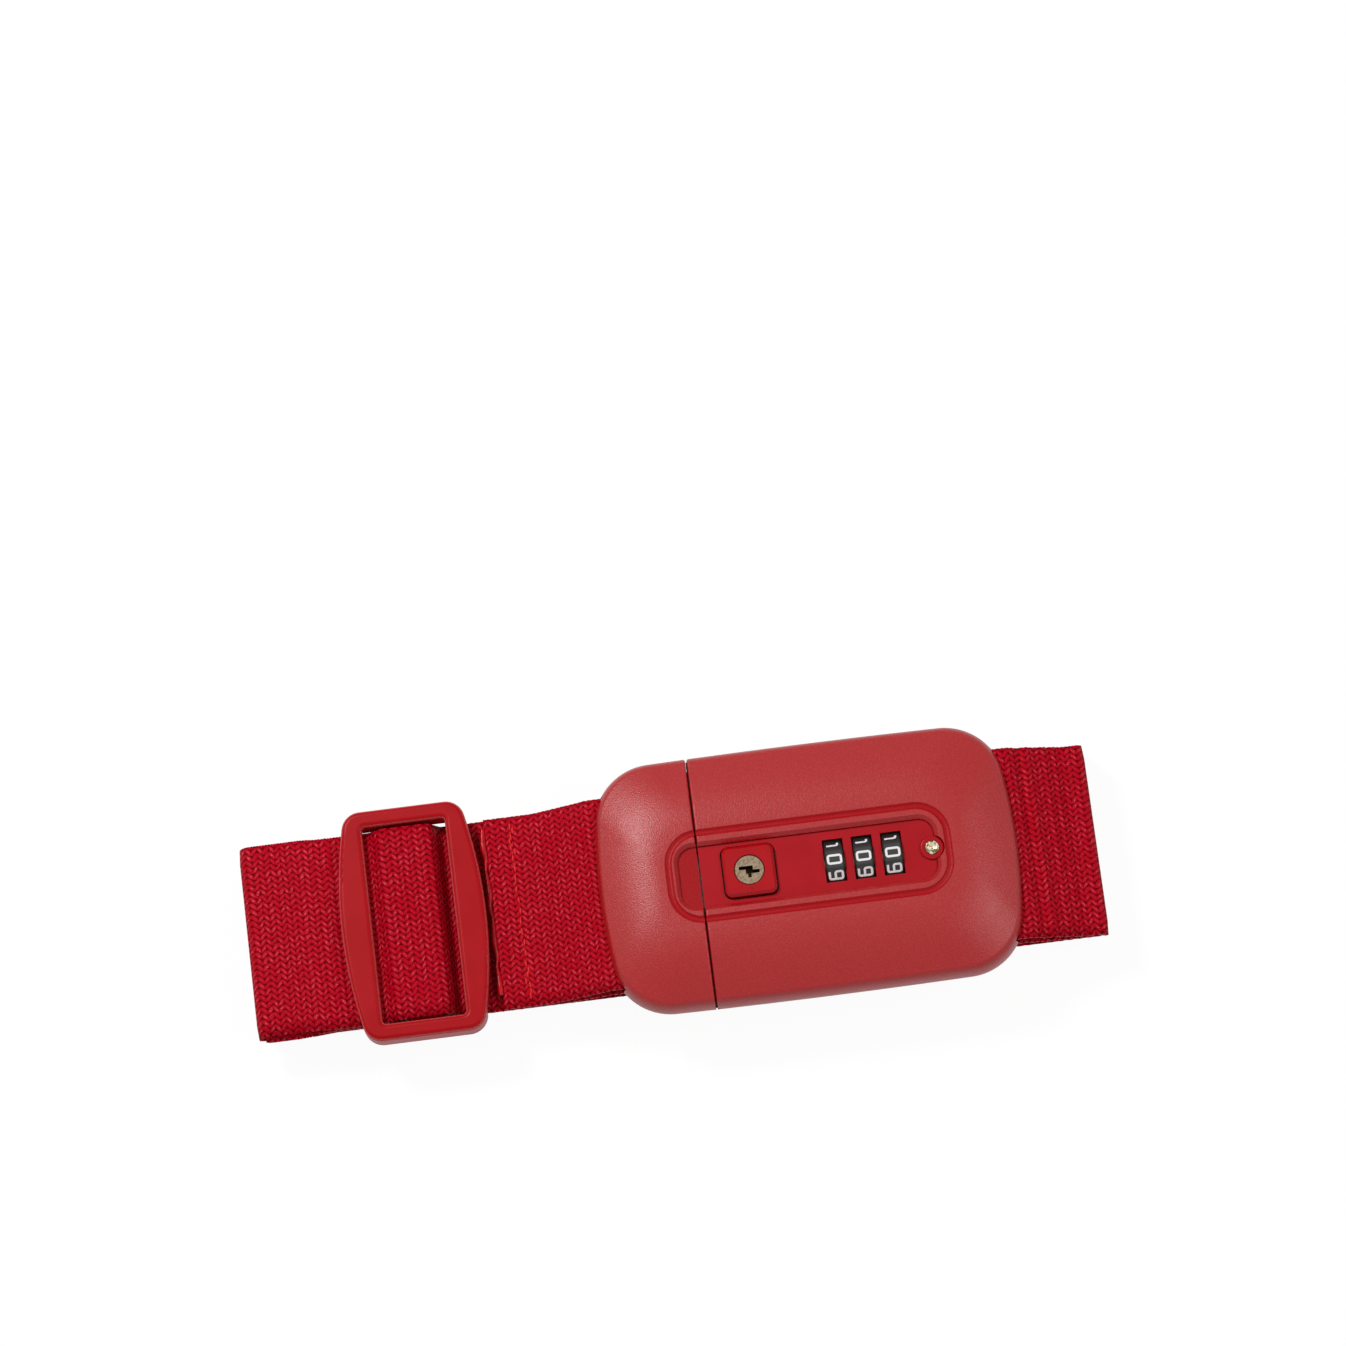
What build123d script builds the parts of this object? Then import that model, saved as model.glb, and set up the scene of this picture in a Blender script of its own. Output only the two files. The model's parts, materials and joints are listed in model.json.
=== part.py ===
from build123d import *
from math import cos, pi, radians, sin, sqrt, tan
import os

os.makedirs("parts", exist_ok=True)

# Luggage strap with a three-dial combination buckle, laid flat and folded up, in millimetres.
# X runs along the webbing and Z points up out of the buckle's face. The origin lies under the
# middle of the folded bundle, on the surface that it rests on.

# webbing
web_width = 50.0
web_thickness = 1.4
ply_gap = 0.3  # air between one ply and the next
bundle_plies = 8  # plies folded under the top run
bundle_lean = 11.5  # degrees that the folded plies lean sideways
web_beyond_glide = 24.85
web_beyond_buckle = 20.45
soft_clearance = 0.3  # between webbing and what it passes

# buckle housing
buckle_length = 109.0
buckle_width = 66.3
buckle_height = 18.0
end_bow = 3.8  # how far the two ends bulge
side_bow = 0.6  # how far the two long sides bulge
corner_radius = 15.5
rim_rise = 5.0  # height of the rounded rim above the seam between shell and cover
rim_share = 0.1  # of the way in from the edge to the flat face
rim_steps = 4
slope_steps = 4
face_margin = 0.8  # flat face round the track
face_bow = 0.1
parting_height = 7.4  # height of the back covers
back_draft = 14.0
wall = 2.2
floor_thickness = 2.0
seam_offset = -27.8  # seam between the two halves, from the buckle's middle
seam_gap = 0.4
seam_round = 0.5
seam_lip_reach = 1.5  # of the lock's floor in under the tongue half
seam_lip_thickness = 1.0
seam_lip_fit = 0.15
shell_roof_height = 11.4  # of the low part of the lock's inside, above its underside

# sunken face of the lock
track_left = -36.5
track_right = 37.1
track_width = 24.4
track_round = 8.8
groove_width = 1.8
groove_depth = 0.45
panel_left = -33.2
panel_right = 32.9
panel_width = 15.9
panel_round = 4.0
panel_sink = 1.6  # panel face below the top of the dome
panel_wall = 0.6  # upright edge round the panel, below the slope that leads down to it
panel_slope = 45.0  # of that slope, in degrees from upright
panel_thickness = 2.8
panel_flange = 1.0  # lip that holds the panel under the shell
panel_lip = 1.4
panel_fit = 0.1

# dials
dial_count = 3
dial_first = 6.8  # first dial, from the buckle's middle
dial_pitch = 7.5
dial_radius = 7.0
dial_width = 4.8
dial_proud = 1.8  # how far a dial stands out of the panel
dial_digits = 10
window_length = 11.2
window_width = 5.3
window_relief = 0.35
dial_round = 0.6
dial_chamfer = 0.35
shaft_radius = 1.5
sleeve_wall = 0.75
sleeve_overhang = 0.7  # how far a sleeve stands out of its dial
running_fit = 0.05  # radial, for pieces that turn or slide in a bore

# release button and key cylinder
button_offset = -15.15
button_length = 13.3
button_width = 13.0
button_round = 1.8
button_bevel = 0.7
button_proud = 2.0
button_travel = 2.0
button_gap = 0.4
flange_rim = 1.4
flange_thickness = 1.0
leg_offset = 11.0  # of each leg from the middle
leg_thickness = 1.8
leg_length = 6.0
cylinder_radius = 3.9
keyway_depth = 3.0
keyway_arm = 2.6  # each of the keyway's two arms
keyway_height = 0.9
keyway_step = 0.55  # from the keyway's middle to the middle of each arm, across it
keyway_core = 1.9
keyway_foot = 0.9
cylinder_bevel = 0.25
dot_radius = 0.35
dot_height = 0.2
dot_offset = 4.75  # of the raised dot, from the key cylinder's middle
cam_reach = 3.2
cam_width = 4.0
cam_gap = 0.2

# reset pin
reset_offset = 31.95
reset_radius = 1.85
reset_boss_radius = 3.1
reset_boss_round = 0.4
reset_boss_height = 0.8
reset_travel = 1.2
reset_proud = 0.3
reset_cup_radius = 1.2
reset_cup_depth = 0.5
reset_flange_radius = 3.1
reset_flange_thickness = 1.0

# tongue and latch
tongue_width = 18.0
tongue_thickness = 2.0
tongue_reach = 22.5  # how far the tongue enters the lock
tongue_bottom = 7.0  # height of the tongue above the buckle's underside
tongue_window_length = 8.0
tongue_window_width = 8.0
tooth_length = 5.6
tooth_width = 6.6
tongue_tip_round = 3.0
tooth_lip = 0.3  # tooth below the tongue's upper face
latch_thickness = 0.8
latch_reach = 14.2  # from the tooth to the clamped end
latch_block_length = 3.5
latch_seat = 4.3  # underside of the latch above the buckle's underside

# strap bars
bar_inset = 9.5  # of both bars, from the buckle's two ends
bar_radius = 2.0
bar_height = 7.0  # above the buckle's underside
bar_length = 54.5

# webbing route
sewn_reach = 9.0  # of the sewn-back ply past the tri-glide
tail_drop = 5.0
tail_length = 190.0
web_slope = 12.0
web_slope_extra = 3.0
web_bend = 8.0
glide_bend = 1.8
end_bend = 2.5
hump_top = 6.0  # half the webbing's level run over the middle bar
hump_foot = 8.9  # half its spread where it comes down again
sewn_top = 4.3
sewn_foot = 7.1
stitched_end = 4.1  # from the tri-glide to the sewn-down end

# tri-glide
glide_gap = 29.1  # between the tri-glide and the buckle
glide_width = 60.5
glide_length = 37.6
glide_end_length = 30.0
glide_window_length = 21.6
glide_window_width = 51.8
glide_end_height = 7.0
glide_bar_height = 3.4
glide_round = 1.3
glide_corner = 5.0
glide_window_round = 1.0
centre_bar_length = 9.4
centre_bar_height = 2.5

# pockets and bosses
web_room = 4.4  # from a strap bar's axis to the inner wall of its pocket
web_side_gap = 0.6
mouth_height = 9.1
slot_fit = 0.15
boss_radius = 3.0
screw_side = 22.0
screw_room = 4.6  # from the pocket on the lock's side
tongue_screw_share = 0.4375  # of the way from the tongue half's pocket to the seam
peg_radius = 1.5
peg_side = 5.0
peg_step = 0.5  # of the tongue's two pegs, from its screws to the seam
tongue_gap = 2.1  # between the pocket and the tongue's root
rib_width = 2.0
rib_side = 7.2
rib_length = 3.0
post_radius = 2.0
post_height = 3.4
bearing_thickness = 2.2
bearing_half_width = 5.0
bearing_gap = 0.4

# small parts
screw_head_radius = 2.0
screw_head_height = 1.4
screw_radius = 1.1
screw_length = 11.0
screw_sink = 0.4
screw_cross = 3.0
spring_wire = 0.5
spring_radius = 1.4
spring_turns = 5
click_thickness = 0.4
click_gap = 0.3
click_reach = 8.0
click_width = 3.0
click_bend = 0.6
spring_seat = 0.1
spring_offset = 5.6

# ---------------------------------------------------------------- worked-out places

ply_pitch = web_thickness + ply_gap
deck = bundle_plies * ply_pitch
ply_middle = web_thickness / 2
bundle_length = web_beyond_glide + glide_length + glide_gap + buckle_length + web_beyond_buckle
bundle_left = -bundle_length / 2
bundle_right = bundle_length / 2
buckle_x = bundle_right - web_beyond_buckle - buckle_length / 2
glide_x = bundle_left + web_beyond_glide + glide_length / 2
lean = tan(radians(bundle_lean))

seam_x = buckle_x + seam_offset
lock_left = seam_x + seam_gap / 2
tongue_right = seam_x - seam_gap / 2
buckle_left = buckle_x - buckle_length / 2
buckle_right = buckle_x + buckle_length / 2
parting = deck + parting_height
dome_top = deck + buckle_height
panel_face = dome_top - panel_sink
panel_back = panel_face - panel_thickness
floor_top = deck + floor_thickness
shell_roof = deck + shell_roof_height
roof = panel_back + panel_flange + panel_fit

tongue_low = deck + tongue_bottom
tongue_high = tongue_low + tongue_thickness
tongue_tip = lock_left + tongue_reach
latch_low = deck + latch_seat
latch_high = latch_low + latch_thickness
bar_z = deck + bar_height
bar_offset = buckle_length / 2 - bar_inset
pocket_left = buckle_x - bar_offset + web_room
pocket_right = buckle_x + bar_offset - web_room
tongue_root = pocket_left + tongue_gap
tongue_screw_x = pocket_left + (seam_x - pocket_left) * tongue_screw_share
peg_x = tongue_screw_x + peg_step
button_x = buckle_x + button_offset
reset_x = buckle_x + reset_offset
dial_z = panel_face + dial_proud - dial_radius
dial_places = [buckle_x + dial_first + dial_pitch * n for n in range(dial_count)]
sleeve_radius = shaft_radius + running_fit + sleeve_wall
rib_places = [lock_left + wall + rib_length / 2, button_x + leg_length / 2 + rib_length]


def bowed_outline(half_length, half_width, ends, sides, radius):
    """A rectangle with rounded corners, its ends and sides bowed outwards."""
    corner_x = half_length - ends
    corner_y = half_width - sides
    with BuildSketch(mode=Mode.PRIVATE) as outline:
        with BuildLine():
            ThreePointArc((corner_x, -corner_y), (half_length, 0), (corner_x, corner_y))
            ThreePointArc((corner_x, corner_y), (0, half_width), (-corner_x, corner_y))
            ThreePointArc((-corner_x, corner_y), (-half_length, 0), (-corner_x, -corner_y))
            ThreePointArc((-corner_x, -corner_y), (0, -half_width), (corner_x, -corner_y))
        make_face()
        fillet(outline.vertices(), radius)
    return outline.sketch


def buckle_outline(inset=0.0):
    """The housing's outline, or one that lies inside it."""
    return bowed_outline(buckle_length / 2 - inset, buckle_width / 2 - inset, end_bow, side_bow,
                         corner_radius - inset)


def pillow_outline(share):
    """The housing's outline, a share of the way in to the flat face round the track."""
    face_length = (track_right - track_left) / 2 + face_margin
    face_width = track_width / 2 + face_margin

    def between(edge, face):
        return edge + (face - edge) * share

    return bowed_outline(between(buckle_length / 2, face_length), between(buckle_width / 2, face_width),
                         between(end_bow, face_bow), between(side_bow, face_bow),
                         between(corner_radius, track_round + face_margin))


def track_outline(left, right, width, radius):
    """A rounded slot along the buckle, from left to right of its middle."""
    with BuildSketch(mode=Mode.PRIVATE) as outline:
        with Locations(((left + right) / 2, 0)):
            RectangleRounded(right - left, width, radius)
    return outline.sketch


def web_band(points, radii):
    """Webbing along a route in the XZ plane, its folded plies leaning sideways."""
    half = web_width / 2
    drift = deck * lean
    with BuildPart(mode=Mode.PRIVATE) as band:
        with BuildSketch(Plane.XZ):
            with BuildLine():
                FilletPolyline(*points, radius=radii)
            trace(line_width=web_thickness)
        extrude(amount=web_width, both=True)
        with BuildSketch(Plane.YZ):
            with BuildLine():
                Polyline((-half, 2 * deck + buckle_height), (half, 2 * deck + buckle_height),
                         (half, deck), (half + drift, 0), (drift - half, 0), (-half, deck),
                         close=True)
            make_face()
        extrude(amount=bundle_length, both=True, mode=Mode.INTERSECT)
    return band.part


def finish(piece, name):
    """Labels a finished piece and writes it."""
    piece.part.label = name
    export_step(piece.part, f"parts/{name}.step")


# ---------------------------------------------------------------- housing shells

housing_plane = Plane((buckle_x, 0, parting))
back_inset = parting_height * tan(radians(back_draft))

# the groove has a round bottom
groove_radius = (groove_width**2 / 4 + groove_depth**2) / (2 * groove_depth)
half_groove = groove_width / 2
groove_plane = Plane((buckle_x, 0, dome_top - groove_depth + groove_radius))
with BuildSketch(groove_plane) as groove_outline:
    add(track_outline(track_left + half_groove, track_right - half_groove,
                      track_width - groove_width, track_round - half_groove))
groove_path = groove_outline.sketch.face().outer_wire()
with BuildPart() as track_groove:
    with BuildSketch(Plane(groove_path @ 0, z_dir=groove_path % 0)):
        Circle(groove_radius)
    sweep(path=groove_path)

with BuildPart() as panel_recess:
    with BuildSketch(Plane((buckle_x, 0, panel_face))):
        add(track_outline(panel_left, panel_right, panel_width, panel_round))
    extrude(amount=buckle_height)
    with BuildSketch(Plane((buckle_x, 0, panel_face + panel_wall))):
        add(track_outline(panel_left, panel_right, panel_width, panel_round))
    extrude(amount=panel_sink - panel_wall, taper=-panel_slope)

# a quarter ellipse makes the rim, and a gentler slope leads up to the flat face
rim_shares = [rim_share * (1 - cos(pi / 2 * step / rim_steps)) for step in range(rim_steps + 1)]
slope_shares = [rim_share + (1 - rim_share) * step / slope_steps for step in range(slope_steps + 1)]
slope_rise = buckle_height - parting_height - rim_rise
with BuildPart() as front_blank:
    for shares in (rim_shares, slope_shares):
        for share in shares:
            rim_left = max(0, 1 - share / rim_share)
            height = rim_rise * sqrt(1 - rim_left**2) + slope_rise * sin(pi / 2 * share)
            with BuildSketch(housing_plane.offset(height)):
                add(pillow_outline(share))
        loft()

with BuildPart() as back_blank:
    with BuildSketch(housing_plane):
        add(buckle_outline())
    with BuildSketch(housing_plane.offset(-parting_height)):
        add(buckle_outline(back_inset))
    loft()

with BuildPart() as lock_space:
    with BuildSketch(Plane((buckle_x, 0, floor_top))):
        add(buckle_outline(wall + back_inset))
    extrude(amount=shell_roof - floor_top)
    # higher under the panel
    with BuildSketch(Plane((buckle_x, 0, floor_top))):
        add(track_outline(seam_offset, track_right, 2 * (leg_offset + leg_thickness + button_gap),
                          track_round))
    extrude(amount=roof - floor_top)
    with Locations((lock_left + wall, 0, floor_top)):
        Box(buckle_length, buckle_width, buckle_height, mode=Mode.INTERSECT,
            align=(Align.MIN, Align.CENTER, Align.MIN))
    with Locations((pocket_right, 0, floor_top)):
        Box(buckle_length, buckle_width, buckle_height, mode=Mode.SUBTRACT,
            align=(Align.MIN, Align.CENTER, Align.MIN))


def seam_lip(fit):
    """The lock's floor where it runs on under the tongue half, or with a fit, the room for it."""
    with BuildPart(mode=Mode.PRIVATE) as lip:
        add(back_blank.part)
        with Locations((lock_left, 0, deck)):
            Box(seam_gap + seam_lip_reach + fit, 2 * buckle_width, seam_lip_thickness + fit,
                align=(Align.MAX, Align.CENTER, Align.MIN), mode=Mode.INTERSECT)
    return lip.part


def half_box(left, right):
    """The slice of the housing between two places along it."""
    with BuildPart(mode=Mode.PRIVATE) as slice_box:
        with Locations((left, 0, deck)):
            Box(right - left, 2 * buckle_width, 2 * buckle_height,
                align=(Align.MIN, Align.CENTER, Align.MIN))
    return slice_box.part


def web_mouth(side):
    """The pocket that holds a strap bar and the loop of webbing round it; side is 1 or -1."""
    with BuildPart(mode=Mode.PRIVATE) as mouth:
        with Locations((buckle_x + side * (bar_offset - web_room), 0, floor_top)):
            Box(buckle_length, web_width + 2 * web_side_gap, mouth_height,
                align=(Align.MIN if side > 0 else Align.MAX, Align.CENTER, Align.MIN))
        with Locations((buckle_x + side * bar_offset, 0, bar_z)):
            Cylinder(bar_radius + running_fit, bar_length, rotation=(90, 0, 0))
    return mouth.part


screw_places = [
    (pocket_right - screw_room, screw_side),
    (pocket_right - screw_room, -screw_side),
    (button_x, screw_side),
    (button_x, -screw_side),
]
tongue_screw_places = [
    (tongue_screw_x, screw_side),
    (tongue_screw_x, -screw_side),
]
lock_slice = half_box(lock_left, buckle_right + wall)
tongue_slice = half_box(buckle_left - wall, tongue_right)

with BuildPart() as tongue_slot:
    with Locations((buckle_x, 0, tongue_low - slot_fit)):
        Box(buckle_length, tongue_width + 2 * slot_fit, tongue_thickness + 2 * slot_fit,
            align=(Align.MAX, Align.CENTER, Align.MIN))

with BuildPart() as lock_front_shell:
    add(front_blank.part)
    add(lock_slice, mode=Mode.INTERSECT)
    seam_face = lock_front_shell.faces().sort_by(Axis.X)[0]
    fillet(seam_face.edges() - seam_face.edges().group_by(Axis.Z)[0], seam_round)
    add(panel_recess.part, mode=Mode.SUBTRACT)
    add(track_groove.part, mode=Mode.SUBTRACT)
    add(lock_space.part, mode=Mode.SUBTRACT)
    with Locations(*[(x, y, parting) for x, y in screw_places]):
        Cylinder(boss_radius, roof - parting + panel_fit,
                 align=(Align.CENTER, Align.CENTER, Align.MIN))
    add(tongue_slot.part, mode=Mode.SUBTRACT)
    add(web_mouth(1), mode=Mode.SUBTRACT)
    with BuildSketch(Plane((buckle_x, 0, parting))):
        add(track_outline(seam_offset - panel_round, panel_right, panel_width, panel_round))
        with Locations((reset_offset, 0)):
            Circle(reset_boss_radius + panel_fit)
    extrude(amount=buckle_height, mode=Mode.SUBTRACT)
    with Locations(*[(x, y, parting) for x, y in screw_places]):
        Cylinder(screw_radius, screw_length - parting_height + screw_head_height,
                 align=(Align.CENTER, Align.CENTER, Align.MIN), mode=Mode.SUBTRACT)
finish(lock_front_shell, "lock_front_shell")


def screw_holes(places):
    """Holes through a back cover, with a sunk seat for each head."""
    with BuildPart(mode=Mode.PRIVATE) as holes:
        with Locations(*[(x, y, deck) for x, y in places]):
            Cylinder(screw_radius, parting_height, align=(Align.CENTER, Align.CENTER, Align.MIN))
            Cylinder(screw_head_radius + running_fit, screw_sink + screw_head_height,
                     align=(Align.CENTER, Align.CENTER, Align.MIN))
    return holes.part


button_spring_places = [
    (button_x + spring_offset, leg_offset),
    (button_x + spring_offset, -leg_offset),
]
bearing_places = [
    dial_places[0] - dial_width / 2 - sleeve_overhang - bearing_gap - bearing_thickness,
    dial_places[-1] + dial_width / 2 + sleeve_overhang + bearing_gap,
]
post_top = floor_top + post_height
reset_bottom = post_top - reset_radius

with BuildPart() as lock_back_cover:
    add(back_blank.part)
    add(lock_slice, mode=Mode.INTERSECT)
    add(seam_lip(0))
    add(lock_space.part, mode=Mode.SUBTRACT)
    with Locations(*[(x, y, deck) for x, y in screw_places]):
        Cylinder(boss_radius, parting_height, align=(Align.CENTER, Align.CENTER, Align.MIN))
    add(screw_holes(screw_places), mode=Mode.SUBTRACT)
    add(tongue_slot.part, mode=Mode.SUBTRACT)
    add(web_mouth(1), mode=Mode.SUBTRACT)
    # rails that the tongue slides on, clear of the latch
    with Locations(*[(x, y, floor_top) for x in rib_places for y in (-rib_side, rib_side)]):
        Box(rib_length, rib_width, tongue_low - slot_fit - floor_top,
            align=(Align.CENTER, Align.CENTER, Align.MIN))
    # block that the latch's spring is clamped on
    with Locations((button_x + latch_reach, 0, floor_top)):
        Box(latch_block_length, tooth_width, latch_low - floor_top,
            align=(Align.MAX, Align.CENTER, Align.MIN))
    # posts under the button's springs
    with Locations(*[(x, y, floor_top) for x, y in button_spring_places]):
        Cylinder(post_radius, post_height, align=(Align.CENTER, Align.CENTER, Align.MIN))
    # bearing blocks of the dial shaft
    with Locations(*[(x, 0, floor_top) for x in bearing_places]):
        Box(bearing_thickness, 2 * bearing_half_width, panel_back - panel_fit - floor_top,
            align=(Align.MIN, Align.CENTER, Align.MIN))
    with Locations(*[(x + bearing_thickness / 2, 0, dial_z) for x in bearing_places]):
        Cylinder(shaft_radius, bearing_thickness, rotation=(0, 90, 0), mode=Mode.SUBTRACT)
    # guide of the reset pin
    with Locations((reset_x, 0, floor_top)):
        Cylinder(boss_radius, post_height, align=(Align.CENTER, Align.CENTER, Align.MIN))
    with Locations((reset_x, 0, reset_bottom - reset_travel - soft_clearance)):
        Cylinder(reset_radius + running_fit, buckle_height,
                 align=(Align.CENTER, Align.CENTER, Align.MIN), mode=Mode.SUBTRACT)
finish(lock_back_cover, "lock_back_cover")

with BuildPart() as dial_panel:
    with BuildSketch(Plane((buckle_x, 0, panel_back))):
        add(track_outline(seam_offset - panel_round, panel_right - panel_fit,
                          panel_width - 2 * panel_fit, panel_round - panel_fit))
    extrude(amount=panel_thickness)
    with BuildSketch(Plane((buckle_x, 0, panel_back))):
        add(track_outline(seam_offset - panel_round, panel_right + panel_lip,
                          panel_width + 2 * panel_lip, panel_round + panel_lip))
    extrude(amount=panel_flange)
    with Locations((lock_left, 0, panel_back)):
        Box(buckle_length, buckle_width, panel_thickness, mode=Mode.INTERSECT,
            align=(Align.MIN, Align.CENTER, Align.MIN))
    with Locations((lock_left, 0, panel_back)):
        Box(wall + panel_fit, buckle_width, panel_flange + panel_fit, mode=Mode.SUBTRACT,
            align=(Align.MIN, Align.CENTER, Align.MIN))
    with Locations((reset_x, 0, panel_back)):
        Cylinder(reset_boss_radius, panel_thickness + reset_boss_height,
                 align=(Align.CENTER, Align.CENTER, Align.MIN))
    fillet(dial_panel.faces().sort_by(Axis.Z)[-1].edges(), reset_boss_round)
    with Locations((reset_x, 0, panel_back)):
        Cylinder(reset_radius + running_fit, 2 * panel_thickness,
                 align=(Align.CENTER, Align.CENTER, Align.MIN), mode=Mode.SUBTRACT)
    with BuildSketch(Plane((button_x, 0, panel_back))):
        RectangleRounded(button_length + 2 * button_gap, button_width + 2 * button_gap,
                         button_round + button_gap)
    extrude(amount=panel_thickness, mode=Mode.SUBTRACT)
    with Locations(*[(x, 0, panel_face) for x in dial_places]):
        Box(window_width, window_length, 2 * panel_thickness, mode=Mode.SUBTRACT)
    with Locations(*[(x, 0, dial_z) for x in dial_places]):
        Cylinder(dial_radius + window_relief, window_width, rotation=(0, 90, 0),
                 mode=Mode.SUBTRACT)
finish(dial_panel, "dial_panel")

# ---------------------------------------------------------------- dials

for number, x in enumerate(dial_places, start=1):
    with BuildPart() as dial:
        with BuildSketch(Plane((x - dial_width / 2, 0, dial_z), x_dir=(0, 0, 1), z_dir=(1, 0, 0))):
            RegularPolygon(dial_radius, dial_digits, rotation=180 / dial_digits)
        extrude(amount=dial_width)
        fillet(dial.edges().filter_by(Axis.X), dial_round)
        chamfer(dial.faces().filter_by(Axis.X).edges(), dial_chamfer)
        with Locations((x, 0, dial_z)):
            Cylinder(sleeve_radius, dial_width, rotation=(0, 90, 0), mode=Mode.SUBTRACT)
    finish(dial, f"number_dial_{number}")
    with BuildPart() as sleeve:
        with Locations((x, 0, dial_z)):
            Cylinder(sleeve_radius, dial_width + 2 * sleeve_overhang, rotation=(0, 90, 0))
            Cylinder(shaft_radius + running_fit, 2 * dial_width, rotation=(0, 90, 0),
                     mode=Mode.SUBTRACT)
        # the gap that lets the lock open
        with Locations((x + dial_width / 2 + sleeve_overhang, 0, dial_z + sleeve_radius)):
            Box(sleeve_overhang, 2 * sleeve_wall, 2 * sleeve_wall,
                align=(Align.MAX, Align.CENTER, Align.CENTER), mode=Mode.SUBTRACT)
    finish(sleeve, f"dial_sleeve_{number}")

shaft_left = bearing_places[0]
shaft_right = bearing_places[1] + bearing_thickness
with BuildPart() as dial_shaft:
    with Locations(((shaft_left + shaft_right) / 2, 0, dial_z)):
        Cylinder(shaft_radius, shaft_right - shaft_left, rotation=(0, 90, 0))
finish(dial_shaft, "dial_shaft")

# a sprung comb under the dials, with one bowed finger for each
click_top = dial_z - dial_radius - click_gap
click_low = floor_top + click_thickness / 2
with BuildPart() as dial_click_spring:
    for x in dial_places:
        with BuildSketch(Plane((x, 0, 0), x_dir=(0, 1, 0), z_dir=(1, 0, 0))):
            with BuildLine():
                FilletPolyline((-click_reach, click_low), (-click_reach / 2, click_low),
                               (0, click_top - click_thickness / 2), (click_reach / 2, click_low),
                               radius=click_bend)
            trace(line_width=click_thickness)
        extrude(amount=click_width / 2, both=True)
    with Locations(((dial_places[0] + dial_places[-1]) / 2, -click_reach, floor_top)):
        Box(dial_places[-1] - dial_places[0] + click_width, click_reach / 2, click_thickness,
            align=(Align.CENTER, Align.MIN, Align.MIN))
finish(dial_click_spring, "dial_click_spring")

# ---------------------------------------------------------------- button, latch and key

button_top = panel_face + button_proud
flange_high = panel_back - panel_fit
flange_low = flange_high - flange_thickness
cam_low = tongue_high + button_travel + cam_gap
cam_high = flange_low - cam_gap
flange_length = button_length + 2 * flange_rim
flange_width = 2 * leg_offset + leg_thickness

with BuildPart() as release_button:
    with BuildSketch(Plane((button_x, 0, flange_high))):
        RectangleRounded(button_length, button_width, button_round)
    extrude(amount=button_top - flange_high)
    chamfer(release_button.faces().sort_by(Axis.Z)[-1].edges(), button_bevel)
    with BuildSketch(Plane((button_x, 0, flange_low))):
        RectangleRounded(flange_length, flange_width, button_round)
    extrude(amount=flange_thickness)
    with Locations(*[(button_x, y, flange_low) for y in (-leg_offset, leg_offset)]):
        Box(leg_length, leg_thickness, flange_low - latch_high - running_fit,
            align=(Align.CENTER, Align.CENTER, Align.MAX))
    with Locations((button_x, 0, flange_low)):
        Cylinder(cylinder_radius + running_fit, 2 * panel_thickness + flange_thickness,
                 align=(Align.CENTER, Align.CENTER, Align.MIN), mode=Mode.SUBTRACT)
    # the dot that the key is turned from
    with Locations((button_x, -dot_offset, button_top)):
        Cylinder(dot_radius, dot_height, align=(Align.CENTER, Align.CENTER, Align.MIN))
finish(release_button, "release_button")

with BuildPart() as key_cylinder:
    with Locations((button_x, 0, cam_high)):
        Cylinder(cylinder_radius, button_top - cam_high,
                 align=(Align.CENTER, Align.CENTER, Align.MIN))
    chamfer(key_cylinder.faces().sort_by(Axis.Z)[-1].edges(), cylinder_bevel)
    # the keyway steps down across the middle
    with BuildSketch(Plane((button_x, 0, button_top))):
        with Locations((0, keyway_step)):
            Rectangle(keyway_arm, keyway_height, align=(Align.MAX, Align.CENTER))
        with Locations((0, -keyway_step)):
            Rectangle(keyway_arm, keyway_height, align=(Align.MIN, Align.CENTER))
        Rectangle(keyway_core, 2 * keyway_step + keyway_height)
        Rectangle(keyway_foot, 2 * keyway_step + keyway_height, align=(Align.CENTER, Align.MAX))
    extrude(amount=-keyway_depth, mode=Mode.SUBTRACT)
finish(key_cylinder, "key_cylinder")

with BuildPart() as key_cam:
    with BuildSketch(Plane((button_x, 0, cam_low))):
        Circle(cylinder_radius)
        Rectangle(cylinder_radius + cam_reach, cam_width, align=(Align.MIN, Align.CENTER))
        fillet(vertices().sort_by(Axis.X)[-2:], cam_width / 3)
    extrude(amount=cam_high - cam_low)
finish(key_cam, "key_cam")

# a leaf of spring steel under the tongue, clamped at its right end
latch_anchor_x = button_x + latch_reach
with BuildPart() as latch_spring:
    with BuildSketch(Plane((0, 0, latch_low))):
        with Locations((button_x, 0)):
            RectangleRounded(leg_length, flange_width, button_bevel)
        with Locations(((button_x + latch_anchor_x) / 2, 0)):
            Rectangle(latch_reach, tooth_width)
    extrude(amount=latch_thickness)
    with Locations((button_x, 0, latch_high)):
        Box(tooth_length, tooth_width, tongue_high - tooth_lip - latch_high,
            align=(Align.CENTER, Align.CENTER, Align.MIN))
    # the slope that the tongue's tip rides up
    chamfer(latch_spring.edges().filter_by(Axis.Y).group_by(Axis.Z)[-1].sort_by(Axis.X)[0],
            tongue_thickness - tooth_lip)
finish(latch_spring, "latch_spring")


def coil(low, high, radius, turns):
    """A wire spring standing along Z, centred on its own axis."""
    with BuildPart(mode=Mode.PRIVATE) as wire:
        with BuildLine() as path:
            Helix(pitch=(high - low - spring_wire) / turns, height=high - low - spring_wire,
                  radius=radius, center=(0, 0, low + spring_wire / 2))
        with BuildSketch(Plane(origin=path.line @ 0, z_dir=path.line % 0)):
            Circle(spring_wire / 2)
        sweep()
    return wire.part


with BuildPart() as button_springs:
    for x, y in button_spring_places:
        with Locations((x, y, 0)):
            add(coil(post_top + spring_seat, flange_low - spring_seat, spring_radius, spring_turns))
finish(button_springs, "button_springs")

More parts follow.
